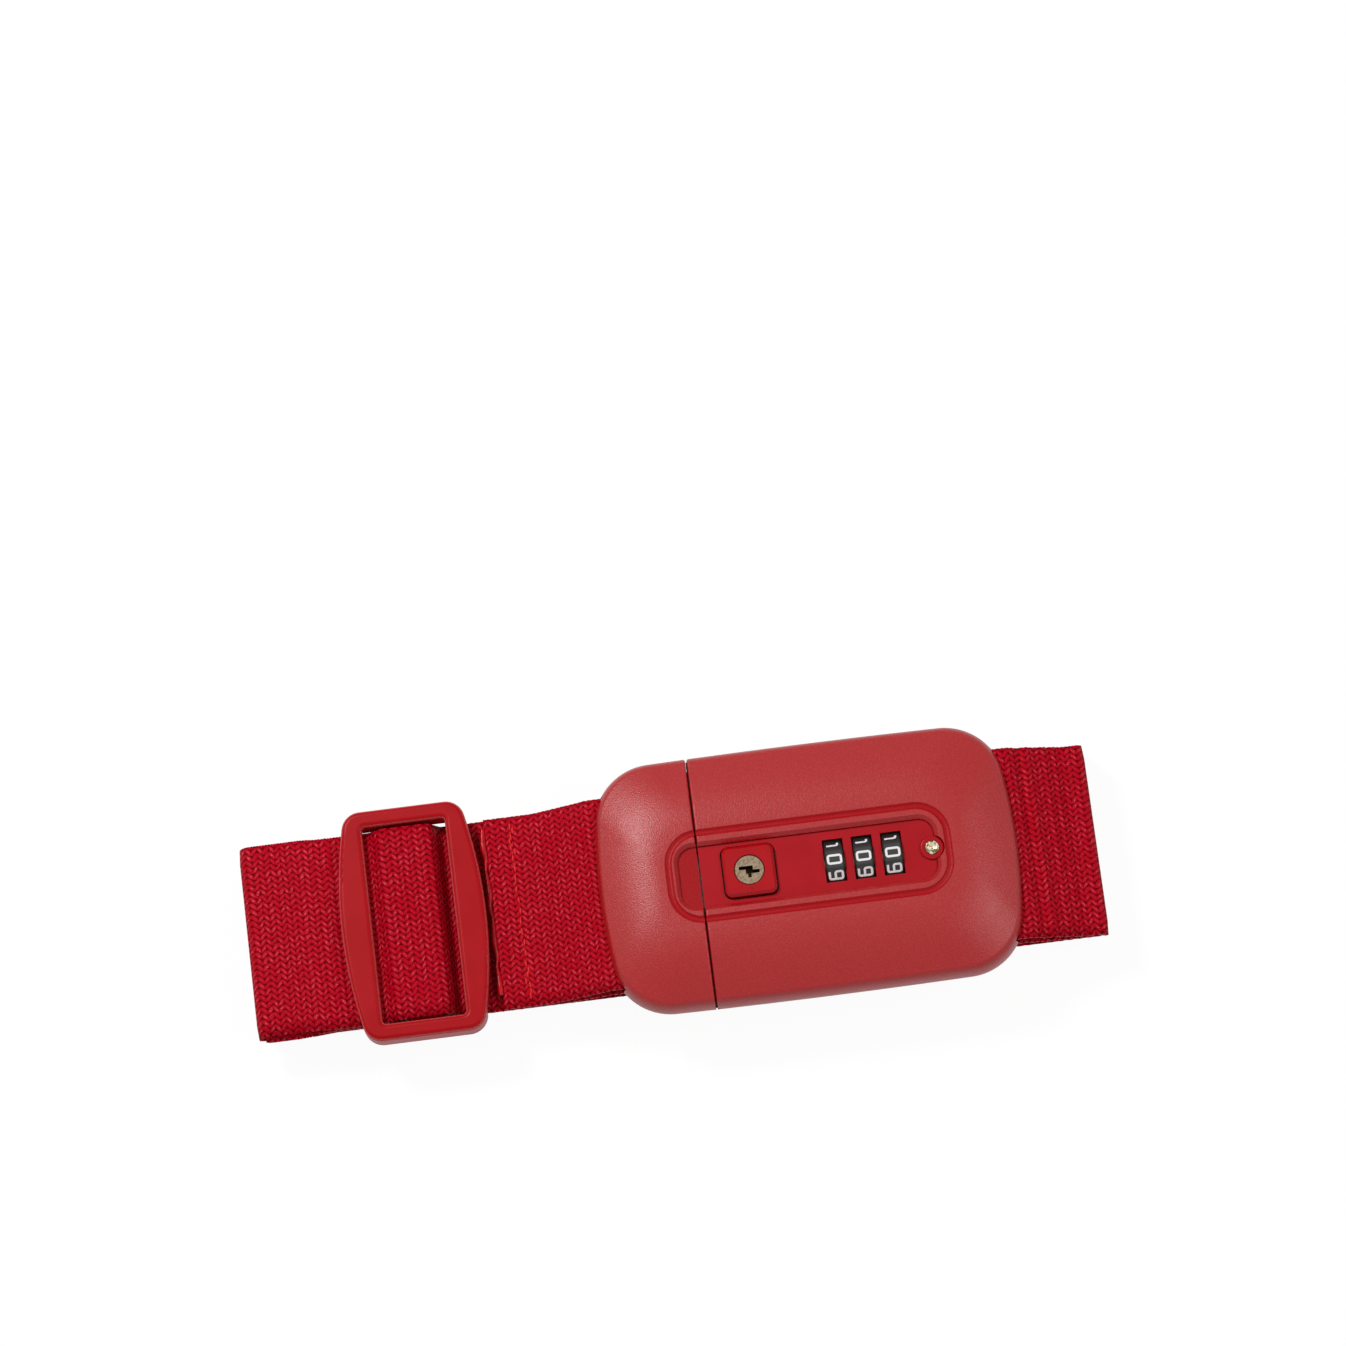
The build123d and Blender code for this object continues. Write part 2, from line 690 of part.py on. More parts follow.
# ---------------------------------------------------------------- reset pin

reset_flange_high = panel_back - panel_fit
reset_flange_low = reset_flange_high - reset_flange_thickness
with BuildPart() as reset_pin:
    with Locations((reset_x, 0, reset_bottom)):
        Cylinder(reset_radius, panel_face + reset_boss_height + reset_proud - reset_bottom,
                 align=(Align.CENTER, Align.CENTER, Align.MIN))
    fillet(reset_pin.faces().sort_by(Axis.Z)[-1].edges(), reset_proud)
    # a cup for the tip of a pen
    with Locations((reset_x, 0, panel_face + reset_boss_height + reset_proud)):
        Cone(0, reset_cup_radius, reset_cup_depth,
             align=(Align.CENTER, Align.CENTER, Align.MAX), mode=Mode.SUBTRACT)
    with Locations((reset_x, 0, reset_flange_low)):
        Cylinder(reset_flange_radius, reset_flange_thickness,
                 align=(Align.CENTER, Align.CENTER, Align.MIN))
finish(reset_pin, "reset_pin")

with BuildPart() as reset_spring:
    with Locations((reset_x, 0, 0)):
        add(coil(post_top + spring_seat, reset_flange_low - spring_seat,
                 reset_radius + soft_clearance + spring_wire / 2, spring_turns))
finish(reset_spring, "reset_spring")

# ---------------------------------------------------------------- tongue half

with BuildPart() as tongue_front_shell:
    add(front_blank.part)
    add(tongue_slice, mode=Mode.INTERSECT)
    seam_face = tongue_front_shell.faces().sort_by(Axis.X)[-1]
    fillet(seam_face.edges() - seam_face.edges().group_by(Axis.Z)[0], seam_round)
    add(panel_recess.part, mode=Mode.SUBTRACT)
    add(track_groove.part, mode=Mode.SUBTRACT)
    add(tongue_slot.part, mode=Mode.SUBTRACT)
    add(web_mouth(-1), mode=Mode.SUBTRACT)
    with Locations(*[(x, y, parting) for x, y in tongue_screw_places]):
        Cylinder(screw_radius, screw_length - parting_height + screw_head_height,
                 align=(Align.CENTER, Align.CENTER, Align.MIN), mode=Mode.SUBTRACT)
    with Locations(*[(peg_x, y, parting) for y in (-peg_side, peg_side)]):
        Cylinder(peg_radius + running_fit, 2 * tongue_thickness,
                 align=(Align.CENTER, Align.CENTER, Align.MIN), mode=Mode.SUBTRACT)
finish(tongue_front_shell, "tongue_front_shell")

with BuildPart() as tongue_back_cover:
    add(back_blank.part)
    add(tongue_slice, mode=Mode.INTERSECT)
    add(seam_lip(seam_lip_fit), mode=Mode.SUBTRACT)
    add(screw_holes(tongue_screw_places), mode=Mode.SUBTRACT)
    add(tongue_slot.part, mode=Mode.SUBTRACT)
    add(web_mouth(-1), mode=Mode.SUBTRACT)
    with Locations(*[(peg_x, y, tongue_low - slot_fit) for y in (-peg_side, peg_side)]):
        Cylinder(peg_radius, 2 * tongue_thickness, align=(Align.CENTER, Align.CENTER, Align.MIN))
finish(tongue_back_cover, "tongue_back_cover")

with BuildPart() as tongue_plate:
    with BuildSketch(Plane((0, 0, tongue_low))):
        with Locations(((tongue_root + tongue_tip) / 2, 0)):
            Rectangle(tongue_tip - tongue_root, tongue_width)
        fillet(vertices().sort_by(Axis.X)[-2:], tongue_tip_round)
        with Locations((button_x, 0)):
            Rectangle(tongue_window_length, tongue_window_width, mode=Mode.SUBTRACT)
        with Locations(*[(peg_x, y) for y in (-peg_side, peg_side)]):
            Circle(peg_radius + running_fit, mode=Mode.SUBTRACT)
    extrude(amount=tongue_thickness)
finish(tongue_plate, "tongue_plate")

for name, x in (("lock_strap_bar", buckle_x + bar_offset), ("tongue_strap_bar", buckle_x - bar_offset)):
    with BuildPart() as strap_bar:
        with Locations((x, 0, bar_z)):
            Cylinder(bar_radius, bar_length, rotation=(90, 0, 0))
    finish(strap_bar, name)


def screws(places):
    """Pan-head screws driven up through a back cover, with a cross in each head."""
    head_low = deck + screw_sink
    with BuildPart(mode=Mode.PRIVATE) as group:
        with Locations(*[(x, y, head_low) for x, y in places]):
            Cylinder(screw_head_radius, screw_head_height,
                     align=(Align.CENTER, Align.CENTER, Align.MIN))
            Cylinder(screw_radius, screw_length, align=(Align.CENTER, Align.CENTER, Align.MIN))
        with Locations(*[(x, y, head_low) for x, y in places]):
            Box(screw_cross, screw_sink, screw_sink, mode=Mode.SUBTRACT,
                align=(Align.CENTER, Align.CENTER, Align.MIN))
            Box(screw_sink, screw_cross, screw_sink, mode=Mode.SUBTRACT,
                align=(Align.CENTER, Align.CENTER, Align.MIN))
    return group.part


with BuildPart() as lock_screws:
    add(screws(screw_places))
finish(lock_screws, "lock_screws")

with BuildPart() as tongue_screws:
    add(screws(tongue_screw_places))
finish(tongue_screws, "tongue_screws")

# ---------------------------------------------------------------- tri-glide

bar_low = deck + 3 * ply_pitch
glide_high = bar_low + glide_bar_height
centre_low = deck + ply_pitch
centre_high = centre_low + centre_bar_height

with BuildPart() as tri_glide:
    with BuildSketch(Plane((glide_x, 0, glide_high - glide_end_height))):
        with BuildLine():
            edge_y = glide_width / 2
            edge_x = glide_end_length / 2
            ThreePointArc((edge_x, -edge_y), (glide_length / 2, 0), (edge_x, edge_y))
            Line((edge_x, edge_y), (-edge_x, edge_y))
            ThreePointArc((-edge_x, edge_y), (-glide_length / 2, 0), (-edge_x, -edge_y))
            Line((-edge_x, -edge_y), (edge_x, -edge_y))
        make_face()
        fillet(vertices(), glide_corner)
    extrude(amount=glide_end_height)
    with BuildSketch(Plane((glide_x, 0, glide_high))):
        RectangleRounded(glide_window_length, glide_window_width, glide_window_round)
    extrude(amount=-glide_end_height, mode=Mode.SUBTRACT)
    fillet(tri_glide.faces().sort_by(Axis.Z)[-1].edges(), glide_round)
    with Locations((glide_x, 0, bar_low)):
        Box(glide_length, glide_window_width, glide_end_height, mode=Mode.SUBTRACT,
            align=(Align.CENTER, Align.CENTER, Align.MAX))
    with BuildPart(mode=Mode.PRIVATE) as centre_bar:
        with Locations((glide_x, 0, (centre_low + centre_high) / 2)):
            Box(centre_bar_length, glide_window_width, centre_bar_height)
        fillet(centre_bar.edges().filter_by(Axis.Y), centre_bar_height / 2 - running_fit)
    add(centre_bar.part)
finish(tri_glide, "tri_glide")

# ---------------------------------------------------------------- webbing

fold = 0.49  # share of the distance between two plies that a fold's radius takes
loop_radius = bar_radius + soft_clearance + ply_middle
ply_zero = deck + ply_middle
ply_one = ply_zero + ply_pitch
ply_two = ply_one + ply_pitch
folds_z = [ply_zero - ply_pitch * n for n in range(bundle_plies + 1)]
tail_end_left = bundle_left + ply_middle
web_end_left = tail_end_left + ply_pitch
fold_end_right = bundle_right - ply_pitch - ply_middle
bar_edge = glide_x + centre_bar_length / 2 + soft_clearance + ply_middle
glide_right = glide_x + glide_length / 2

# the strap's own end, sewn round the middle bar of the tri-glide
sewn_high = centre_high + soft_clearance + ply_middle
with BuildPart() as strap_glide_end:
    add(
        web_band(
            [
                (web_end_left + soft_clearance + ply_pitch, folds_z[1]),
                (web_end_left, folds_z[1]),
                (web_end_left, ply_zero),
                (bar_edge, ply_zero),
                (bar_edge, sewn_high),
                (glide_x - sewn_top, sewn_high),
                (glide_x - sewn_foot, ply_one),
                (glide_x - glide_length / 2 - sewn_reach, ply_one),
            ],
            [fold * ply_pitch, fold * ply_pitch, fold * (sewn_high - ply_zero),
             fold * (sewn_high - ply_zero), glide_bend, glide_bend],
        )
    )
finish(strap_glide_end, "strap_glide_end")

# the free end: over the middle bar, on along the top and folded in under the first ply
with BuildPart() as strap_tail:
    add(
        web_band(
            [
                (glide_right - ply_middle, ply_zero),
                (glide_x + hump_foot, ply_zero),
                (glide_x + hump_top, sewn_high + ply_pitch),
                (glide_x - hump_top, sewn_high + ply_pitch),
                (glide_x - hump_foot, ply_two),
                (glide_x - glide_length / 2 - sewn_reach, ply_two),
                (glide_x - glide_length / 2 - sewn_reach - tail_drop, ply_one),
                (tail_end_left, ply_one),
                (tail_end_left, folds_z[2]),
                (bundle_left + tail_length, folds_z[2]),
            ],
            [glide_bend, glide_bend, glide_bend, glide_bend, glide_bend, glide_bend,
             fold * (ply_one - folds_z[2]), fold * (ply_one - folds_z[2])],
        )
    )
finish(strap_tail, "strap_tail")

# the webbing between the buckle and the tri-glide, looped round the tongue's bar and sewn down
tongue_bar_x = buckle_x - bar_offset
with BuildPart() as tongue_strap:
    add(
        web_band(
            [
                (glide_right - ply_middle + soft_clearance, ply_zero),
                (buckle_left - web_slope, ply_zero),
                (buckle_left, bar_z - loop_radius),
                (tongue_bar_x + loop_radius, bar_z - loop_radius),
                (tongue_bar_x + loop_radius, bar_z + loop_radius),
                (buckle_left, bar_z + loop_radius),
                (buckle_left - web_slope - web_slope_extra, ply_one),
                (glide_right + stitched_end, ply_one),
            ],
            [web_bend, web_bend / 2, 2 * fold * loop_radius, 2 * fold * loop_radius, web_bend / 2,
             web_bend],
        )
    )
finish(tongue_strap, "tongue_strap")

# the length that goes round the case, folded to and fro, from the first ply down
ply_order = [folds_z[1]] + folds_z[3:]
route = [(web_end_left + 2 * soft_clearance + ply_pitch, ply_order[0])]
bends = []
for n, (high, low) in enumerate(zip(ply_order, ply_order[1:])):
    end = web_end_left if n % 2 else fold_end_right
    route += [(end, high), (end, low)]
    bends += [fold * (high - low), fold * (high - low)]
route.append((bundle_right - ply_middle, ply_order[-1]))
route.append((bundle_right - ply_middle, ply_zero))
bends += [end_bend]
with BuildPart() as strap_folds:
    add(web_band(route, bends))
finish(strap_folds, "strap_folds")

# the strap's other end, sewn round the bar of the lock
lock_bar_x = buckle_x + bar_offset
with BuildPart() as strap_lock_end:
    add(
        web_band(
            [
                (bundle_right - ply_middle, ply_zero),
                (bundle_right - ply_middle, ply_one),
                (buckle_right + web_slope + web_slope_extra, ply_one),
                (buckle_right, bar_z + loop_radius),
                (lock_bar_x - loop_radius, bar_z + loop_radius),
                (lock_bar_x - loop_radius, bar_z - loop_radius),
                (buckle_right, bar_z - loop_radius),
                (buckle_right + web_slope, ply_zero),
                (bundle_right - 3 * ply_pitch, ply_zero),
            ],
            [fold * ply_pitch * 2, web_bend, web_bend / 2, 2 * fold * loop_radius,
             2 * fold * loop_radius, web_bend / 2, web_bend],
        )
    )
finish(strap_lock_end, "strap_lock_end")
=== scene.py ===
import bpy
import json
import math
from mathutils import Matrix, Vector


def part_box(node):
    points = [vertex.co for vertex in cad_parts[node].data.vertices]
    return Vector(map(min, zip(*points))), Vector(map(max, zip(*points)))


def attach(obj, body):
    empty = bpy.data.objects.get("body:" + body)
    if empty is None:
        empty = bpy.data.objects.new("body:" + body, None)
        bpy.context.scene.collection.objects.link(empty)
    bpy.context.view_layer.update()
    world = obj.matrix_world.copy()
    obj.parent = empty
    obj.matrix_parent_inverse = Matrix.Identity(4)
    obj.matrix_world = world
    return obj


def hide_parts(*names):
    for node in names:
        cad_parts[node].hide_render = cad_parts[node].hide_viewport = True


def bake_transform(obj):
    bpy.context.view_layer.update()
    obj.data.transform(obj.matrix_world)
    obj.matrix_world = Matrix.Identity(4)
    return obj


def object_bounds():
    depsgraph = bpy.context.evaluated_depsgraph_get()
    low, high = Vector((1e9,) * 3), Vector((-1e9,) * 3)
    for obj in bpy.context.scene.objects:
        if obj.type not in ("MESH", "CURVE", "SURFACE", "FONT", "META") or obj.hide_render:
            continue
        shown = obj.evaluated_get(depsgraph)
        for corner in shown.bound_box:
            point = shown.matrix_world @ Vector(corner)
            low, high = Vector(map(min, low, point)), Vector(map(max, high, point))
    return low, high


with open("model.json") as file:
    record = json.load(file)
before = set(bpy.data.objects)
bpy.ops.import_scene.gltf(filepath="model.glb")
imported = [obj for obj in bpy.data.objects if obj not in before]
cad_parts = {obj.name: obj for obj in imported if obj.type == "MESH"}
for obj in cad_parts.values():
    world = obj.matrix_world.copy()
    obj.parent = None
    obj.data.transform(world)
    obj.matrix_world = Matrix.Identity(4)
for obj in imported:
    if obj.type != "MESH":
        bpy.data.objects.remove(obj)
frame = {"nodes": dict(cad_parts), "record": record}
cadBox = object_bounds()
nodes = frame["nodes"]
mm = 0.001
perMetre = 1000  # millimetres in a metre, for the shaders
pureWhite = (1, 1, 1, 1)
print("frame loaded")


# shader maths: a socket that can be added, scaled and compared

class Socket:
    def __init__(self, finish, link):
        self.finish = finish
        self.link = link

    def maths(self, operation, *values):
        return self.finish.add("ShaderNodeMath", {"operation": operation}, dict(enumerate(values)))

    def __add__(self, other): return self.maths("ADD", self, other)
    def __radd__(self, other): return self.maths("ADD", other, self)
    def __sub__(self, other): return self.maths("SUBTRACT", self, other)
    def __rsub__(self, other): return self.maths("SUBTRACT", other, self)
    def __mul__(self, other): return self.maths("MULTIPLY", self, other)
    def __rmul__(self, other): return self.maths("MULTIPLY", other, self)
    def __truediv__(self, other): return self.maths("DIVIDE", self, other)
    def __rtruediv__(self, other): return self.maths("DIVIDE", other, self)
    def __pow__(self, other): return self.maths("POWER", self, other)
    def __abs__(self): return self.maths("ABSOLUTE", self)
    def fraction(self): return self.maths("FRACT", self)
    def whole(self): return self.maths("FLOOR", self)
    def cosine(self): return self.maths("COSINE", self)
    def root(self): return self.maths("SQRT", self)
    def biggest(self, other): return self.maths("MAXIMUM", self, other)
    def smallest(self, other): return self.maths("MINIMUM", self, other)

    def smooth(self, low, high):
        return self.finish.add("ShaderNodeMapRange", {"interpolation_type": "SMOOTHSTEP"},
                               {"Value": self, "From Min": low, "From Max": high})


# one material: nodes come from add(), and set() feeds the main shader
class Finish:
    def __init__(self, name, **constants):
        self.material = bpy.data.materials.new(name)
        self.material.use_nodes = True
        self.tree = self.material.node_tree
        self.shader = self.tree.nodes["Principled BSDF"]
        for socket, value in constants.items():
            self.shader.inputs[socket.replace("_", " ")].default_value = value

    def add(self, kind, settings=None, values=None, output=0):
        node = self.tree.nodes.new(kind)
        for key, value in (settings or {}).items():
            setattr(node, key, value)
        for key, value in (values or {}).items():
            if isinstance(value, Socket):
                self.tree.links.new(value.link, node.inputs[key])
            else:
                node.inputs[key].default_value = value
        return Socket(self, node.outputs[output])

    def place(self):
        return self.add("ShaderNodeTexCoord", output="Object")

    def parts(self, vector):  # the three numbers of a vector
        node = self.tree.nodes.new("ShaderNodeSeparateXYZ")
        self.tree.links.new(vector.link, node.inputs[0])
        return [Socket(self, output) for output in node.outputs]

    def noise(self, scale, detail=2.0, vector=None):
        return self.add("ShaderNodeTexNoise", {},
                        {"Vector": vector or self.place(), "Scale": scale, "Detail": detail})

    def mix(self, factor, first, second):
        return self.add("ShaderNodeMix", {"data_type": "RGBA"},
                        {"Factor": factor, 6: first, 7: second}, output=2)

    def bump(self, height, distance, strength):
        return self.add("ShaderNodeBump", {},
                        {"Height": height, "Distance": distance, "Strength": strength})

    def set(self, socket, value):
        self.tree.links.new(value.link, self.shader.inputs[socket])

    def over(self, mask, colour, normal, **constants):  # a second shader where the mask is 1
        other = self.tree.nodes.new("ShaderNodeBsdfPrincipled")
        for socket, value in constants.items():
            other.inputs[socket.replace("_", " ")].default_value = value
        mixed = self.tree.nodes.new("ShaderNodeMixShader")
        surface = self.tree.nodes["Material Output"].inputs["Surface"]
        for link, socket in (
                (colour.link, other.inputs["Base Color"]), (normal.link, other.inputs["Normal"]),
                (mask.link, mixed.inputs["Fac"]), (self.shader.outputs[0], mixed.inputs[1]),
                (other.outputs[0], mixed.inputs[2]), (mixed.outputs[0], surface)):
            self.tree.links.new(link, socket)


def rgb(red, green, blue):  # a colour as it looks, turned into light
    def light(value):
        value /= 255
        return value / 12.92 if value <= 0.04045 else ((value + 0.055) / 1.055) ** 2.4
    return (light(red), light(green), light(blue), 1.0)


def span(name):  # a node's box in millimetres
    low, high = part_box(name)
    return [value / mm for value in low], [value / mm for value in high]


shellLow, shellHigh = span("lock_front_shell")
glideLow, glideHigh = span("tri_glide")
tailHigh = span("strap_tail")[1]
keyTop = span("key_cylinder")[1][2]
buckleLeft, buckleRight = span("tongue_front_shell")[0][0], shellHigh[0]
buckleMiddle = (buckleLeft + buckleRight) / 2


def slotDistance(x, y, slot):  # how far outside a rounded slot a point lies
    middle, reach = (slot["left"] + slot["right"]) / 2, (slot["right"] - slot["left"]) / 2
    acrossX = abs(x - middle) - (reach - slot["round"])
    acrossY = abs(y) - (slot["width"] / 2 - slot["round"])
    corner = (acrossX.biggest(0.0) ** 2 + acrossY.biggest(0.0) ** 2).root()
    return corner + acrossX.biggest(acrossY).smallest(0.0) - slot["round"]


def mattePlastic():
    look = {
        "base": rgb(164, 10, 14), "pale": rgb(176, 26, 30), "speck": 2800, "paleFrom": 0.4, "paleTo": 0.65,
        "depth": 0.00011, "strength": 0.7, "soft": 300, "roughness": 0.29, "speckRough": 0.1,
        "softRough": 0.06,
    }
    moulded = {  # the smoother groove and recess, which only the top of the housing has
        "groove": rgb(166, 4, 16), "recess": rgb(162, 4, 14), "share": 0.95, "roughness": 0.4, "shine": 0.15,
        "from": 4, "to": 3,
    }
    track = {
        "left": -36.5, "right": 37.1, "width": 24.4, "round": 8.8, "inset": 0.9, "flat": 0.6, "edge": 1.2,
    }
    recess = {"left": -33.2, "right": 32.9, "width": 15.9, "round": 4.0, "edge": 0.3}
    finish = Finish("housingRed", Specular_IOR_Level=0.5)
    place = finish.parts(finish.place())
    x, y, z = place[0] * perMetre - buckleMiddle, place[1] * perMetre, place[2] * perMetre
    top = z.smooth(shellHigh[2] - moulded["from"], shellHigh[2] - moulded["to"])
    middle = abs(slotDistance(x, y, track) + track["inset"])
    groove = (1 - middle.smooth(track["flat"], track["edge"])) * top
    inside = (1 - slotDistance(x, y, recess).smooth(-recess["edge"], recess["edge"])) * top
    speck = finish.noise(look["speck"])
    soft = finish.noise(look["soft"])
    grain = finish.bump(speck, look["depth"], look["strength"])
    pale = speck.smooth(look["paleFrom"], look["paleTo"])
    finish.set("Base Color", finish.mix(pale, look["base"], look["pale"]))
    finish.set("Roughness", look["roughness"] + look["speckRough"] * speck + look["softRough"] * soft)
    finish.set("Normal", grain)
    colour = finish.mix(groove, moulded["recess"], moulded["groove"])
    mask = (groove * moulded["share"]).biggest(inside * moulded["share"])
    finish.over(mask, colour, grain, Roughness=moulded["roughness"], Specular_IOR_Level=moulded["shine"])
    return finish.material


def satinPlastic(name, base, shade, roughness, shine, edgeHighlight=None):
    look = {
        "cloud": 90, "shadeFrom": 0.3, "shadeTo": 0.75, "cloudRough": 0.08, "fine": 2600, "depth": 0.00001,
        "strength": 0.4,
    }
    finish = Finish(name, Specular_IOR_Level=shine)
    cloud = finish.noise(look["cloud"])
    fine = finish.noise(look["fine"])
    body = finish.mix(cloud.smooth(look["shadeFrom"], look["shadeTo"]), base, shade)
    if edgeHighlight:  # painted highlight: a pale band along the top rounded edges, where light catches them
        z = finish.parts(finish.place())[2] * perMetre
        fade = 1 - z.smooth(edgeHighlight["high"] - edgeHighlight["fadeOut"], edgeHighlight["high"])
        highlightBand = z.smooth(edgeHighlight["low"], edgeHighlight["low"] + edgeHighlight["fadeIn"]) * fade
        speckled = fine.smooth(edgeHighlight["speckFrom"], edgeHighlight["speckTo"])
        body = finish.mix(highlightBand * edgeHighlight["share"] * speckled, body, edgeHighlight["colour"])
    finish.set("Base Color", body)
    finish.set("Roughness", roughness + look["cloudRough"] * cloud)
    finish.set("Normal", finish.bump(fine, look["depth"], look["strength"]))
    return finish.material


def metal(name, base, roughness, grain):
    look = {
        "worn": rgb(150, 146, 140), "detail": 3.0, "scratchRough": 0.18, "depth": 0.000006, "strength": 0.5,
    }
    finish = Finish(name, Metallic=1.0)
    scratch = finish.noise(grain, look["detail"])
    finish.set("Base Color", finish.mix(scratch, base, look["worn"]))
    finish.set("Roughness", roughness + look["scratchRough"] * scratch)
    finish.set("Normal", finish.bump(scratch, look["depth"], look["strength"]))
    return finish.material


def agedNickel():  # tan where it is handled, with painted shade down in the keyway
    look = {
        "face": rgb(146, 129, 108), "worn": rgb(112, 95, 74), "keyway": rgb(52, 38, 22), "scratch": 1400,
        "detail": 3.0, "wornFrom": 0.35, "wornTo": 0.7, "keywayFrom": 1.3, "keywayTo": 0.5,
        "roughness": 0.26, "scratchRough": 0.2, "keywayRough": 0.2, "depth": 0.00001, "strength": 0.6,
    }
    finish = Finish("keyNickel", Metallic=1.0)
    z = finish.parts(finish.place())[2] * perMetre
    scratch = finish.noise(look["scratch"], look["detail"])
    # painted shade: darker the deeper a point lies below the cylinder's top, inside the keyway
    shadeInKeyway = 1 - z.smooth(keyTop - look["keywayFrom"], keyTop - look["keywayTo"])
    face = finish.mix(scratch.smooth(look["wornFrom"], look["wornTo"]), look["face"], look["worn"])
    finish.set("Base Color", finish.mix(shadeInKeyway, face, look["keyway"]))
    rough = look["roughness"] + look["scratchRough"] * scratch + look["keywayRough"] * shadeInKeyway
    finish.set("Roughness", rough)
    finish.set("Normal", finish.bump(scratch, look["depth"], look["strength"]))
    return finish.material


# painted reflection: bright and dark blotches stand in for the surroundings mirrored in the shiny pin
def mottledReflectionNickel():
    look = {
        "bright": rgb(214, 206, 178), "dark": rgb(104, 84, 58), "blotch": 1300, "detail": 3.0,
        "darkFrom": 0.42, "darkTo": 0.58, "roughness": 0.16, "blotchRough": 0.24, "depth": 0.00009,
        "strength": 0.8,
    }
    finish = Finish("pinNickel", Metallic=1.0)
    blotch = finish.noise(look["blotch"], look["detail"])
    dark = blotch.smooth(look["darkFrom"], look["darkTo"])
    finish.set("Base Color", finish.mix(dark, look["bright"], look["dark"]))
    finish.set("Roughness", look["roughness"] + look["blotchRough"] * blotch)
    finish.set("Normal", finish.bump(blotch, look["depth"], look["strength"]))
    return finish.material


def herringbone():
    # the weave map holds millimetres: x along the webbing, y across it
    # the gap colour is painted shade between the stitches; the pale pink is a painted highlight on their
    # tops
    look = {
        "gap": rgb(108, 0, 10), "yarn": rgb(184, 6, 30), "tip": rgb(214, 74, 92),
        "gapTo": 0.05, "yarnFrom": 0.72, "tipFrom": 0.8, "roughness": 0.66, "polish": 0.26,
        "depth": 0.00026, "strength": 0.9, "strayFrom": 0.15, "strayTo": 0.95, "highlightSpeckFrom": 0.4,
        "highlightSpeckTo": 0.62,
    }
    weave = {"column": 1.5, "row": 1.62, "rise": 1.3, "narrow": 0.6, "round": 0.95}
    uneven = {
        "slow": 0.3, "fine": 2.6, "slowAlong": 0.5, "fineAlong": 0.26, "slowAcross": 0.9, "fineAcross": 0.6,
    }
    strand = {"pitch": 5.2, "height": 0.06}
    finish = Finish("webbingRed", Specular_IOR_Level=0.05)
    woven = finish.add("ShaderNodeUVMap", {"uv_map": "weave"})
    along, across = finish.parts(woven)[:2]
    slow = finish.noise(uneven["slow"], vector=woven)
    fine = finish.noise(uneven["fine"], vector=woven)
    column = along / weave["column"] + uneven["slowAlong"] * slow + uneven["fineAlong"] * fine
    zigzag = abs((column / 2).fraction() - 0.5) * 2
    row = across + weave["rise"] * zigzag + uneven["slowAcross"] * slow + uneven["fineAcross"] * fine
    turn = row / weave["row"]
    u = column.fraction() * 2 - 1
    v = turn.fraction() * 2 - 1
    height = (1 - (weave["narrow"] * u * u + weave["round"] * v * v)).biggest(0.0).root()
    cell = finish.add("ShaderNodeCombineXYZ", {}, {0: column.whole(), 1: turn.whole()})
    spot = finish.add("ShaderNodeTexWhiteNoise", {"noise_dimensions": "2D"}, {"Vector": cell})
    stray = spot.smooth(look["strayFrom"], look["strayTo"])
    # painted highlight: pale pink on the highest part of some stitches, picked at random
    lit = height.smooth(look["tipFrom"], 1.0) * stray * fine.smooth(look["highlightSpeckFrom"], look["highlightSpeckTo"])
    # painted shade: the yarn colour falls to the dark gap colour where the weave's height map drops between
    # stitches
    body = finish.mix(height.smooth(look["gapTo"], look["yarnFrom"]), look["gap"], look["yarn"])
    finish.set("Base Color", finish.mix(lit, body, look["tip"]))
    finish.set("Roughness", look["roughness"] - look["polish"] * height)
    strands = (across * strand["pitch"] + along * strand["pitch"]).cosine() * strand["height"]
    finish.set("Normal", finish.bump(height + strands, look["depth"], look["strength"]))
    return finish.material


def threadFinish():
    look = {
        "light": rgb(230, 44, 44), "shade": rgb(200, 18, 28), "twist": 1800, "depth": 0.00005,
        "strength": 0.8,
    }
    finish = Finish("threadRed", Roughness=0.45, Specular_IOR_Level=0.25)
    twist = finish.noise(look["twist"])
    finish.set("Base Color", finish.mix(twist, look["light"], look["shade"]))
    finish.set("Normal", finish.bump(twist, look["depth"], look["strength"]))
    return finish.material


def sealedFinish():  # webbing melted along its cut
    look = {
        "light": rgb(190, 3, 18), "shade": rgb(150, 0, 12), "melt": 700, "shadeFrom": 0.35, "shadeTo": 0.65,
        "roughness": 0.24, "meltRough": 0.2, "depth": 0.00012, "strength": 0.7,
    }
    finish = Finish("sealedRed", Specular_IOR_Level=0.25)
    melt = finish.noise(look["melt"])
    shaded = melt.smooth(look["shadeFrom"], look["shadeTo"])
    finish.set("Base Color", finish.mix(shaded, look["light"], look["shade"]))
    finish.set("Roughness", look["roughness"] + look["meltRough"] * melt)
    finish.set("Normal", finish.bump(melt, look["depth"], look["strength"]))
    return finish.material


def dialBlack():
    look = {
        "dark": rgb(14, 13, 14), "light": rgb(30, 28, 29), "fine": 3000, "roughness": 0.34,
        "fineRough": 0.16,
    }
    finish = Finish("dialBlack", Specular_IOR_Level=0.5)
    fine = finish.noise(look["fine"])
    finish.set("Base Color", finish.mix(fine, look["dark"], look["light"]))
    finish.set("Roughness", look["roughness"] + look["fineRough"] * fine)
    return finish.material


def digitWhite():
    look = {"light": rgb(246, 244, 242), "shade": rgb(226, 222, 220), "fine": 4000}
    finish = Finish("digitWhite", Roughness=0.5)
    fine = finish.noise(look["fine"])
    finish.set("Base Color", finish.mix(fine, look["light"], look["shade"]))
    return finish.material


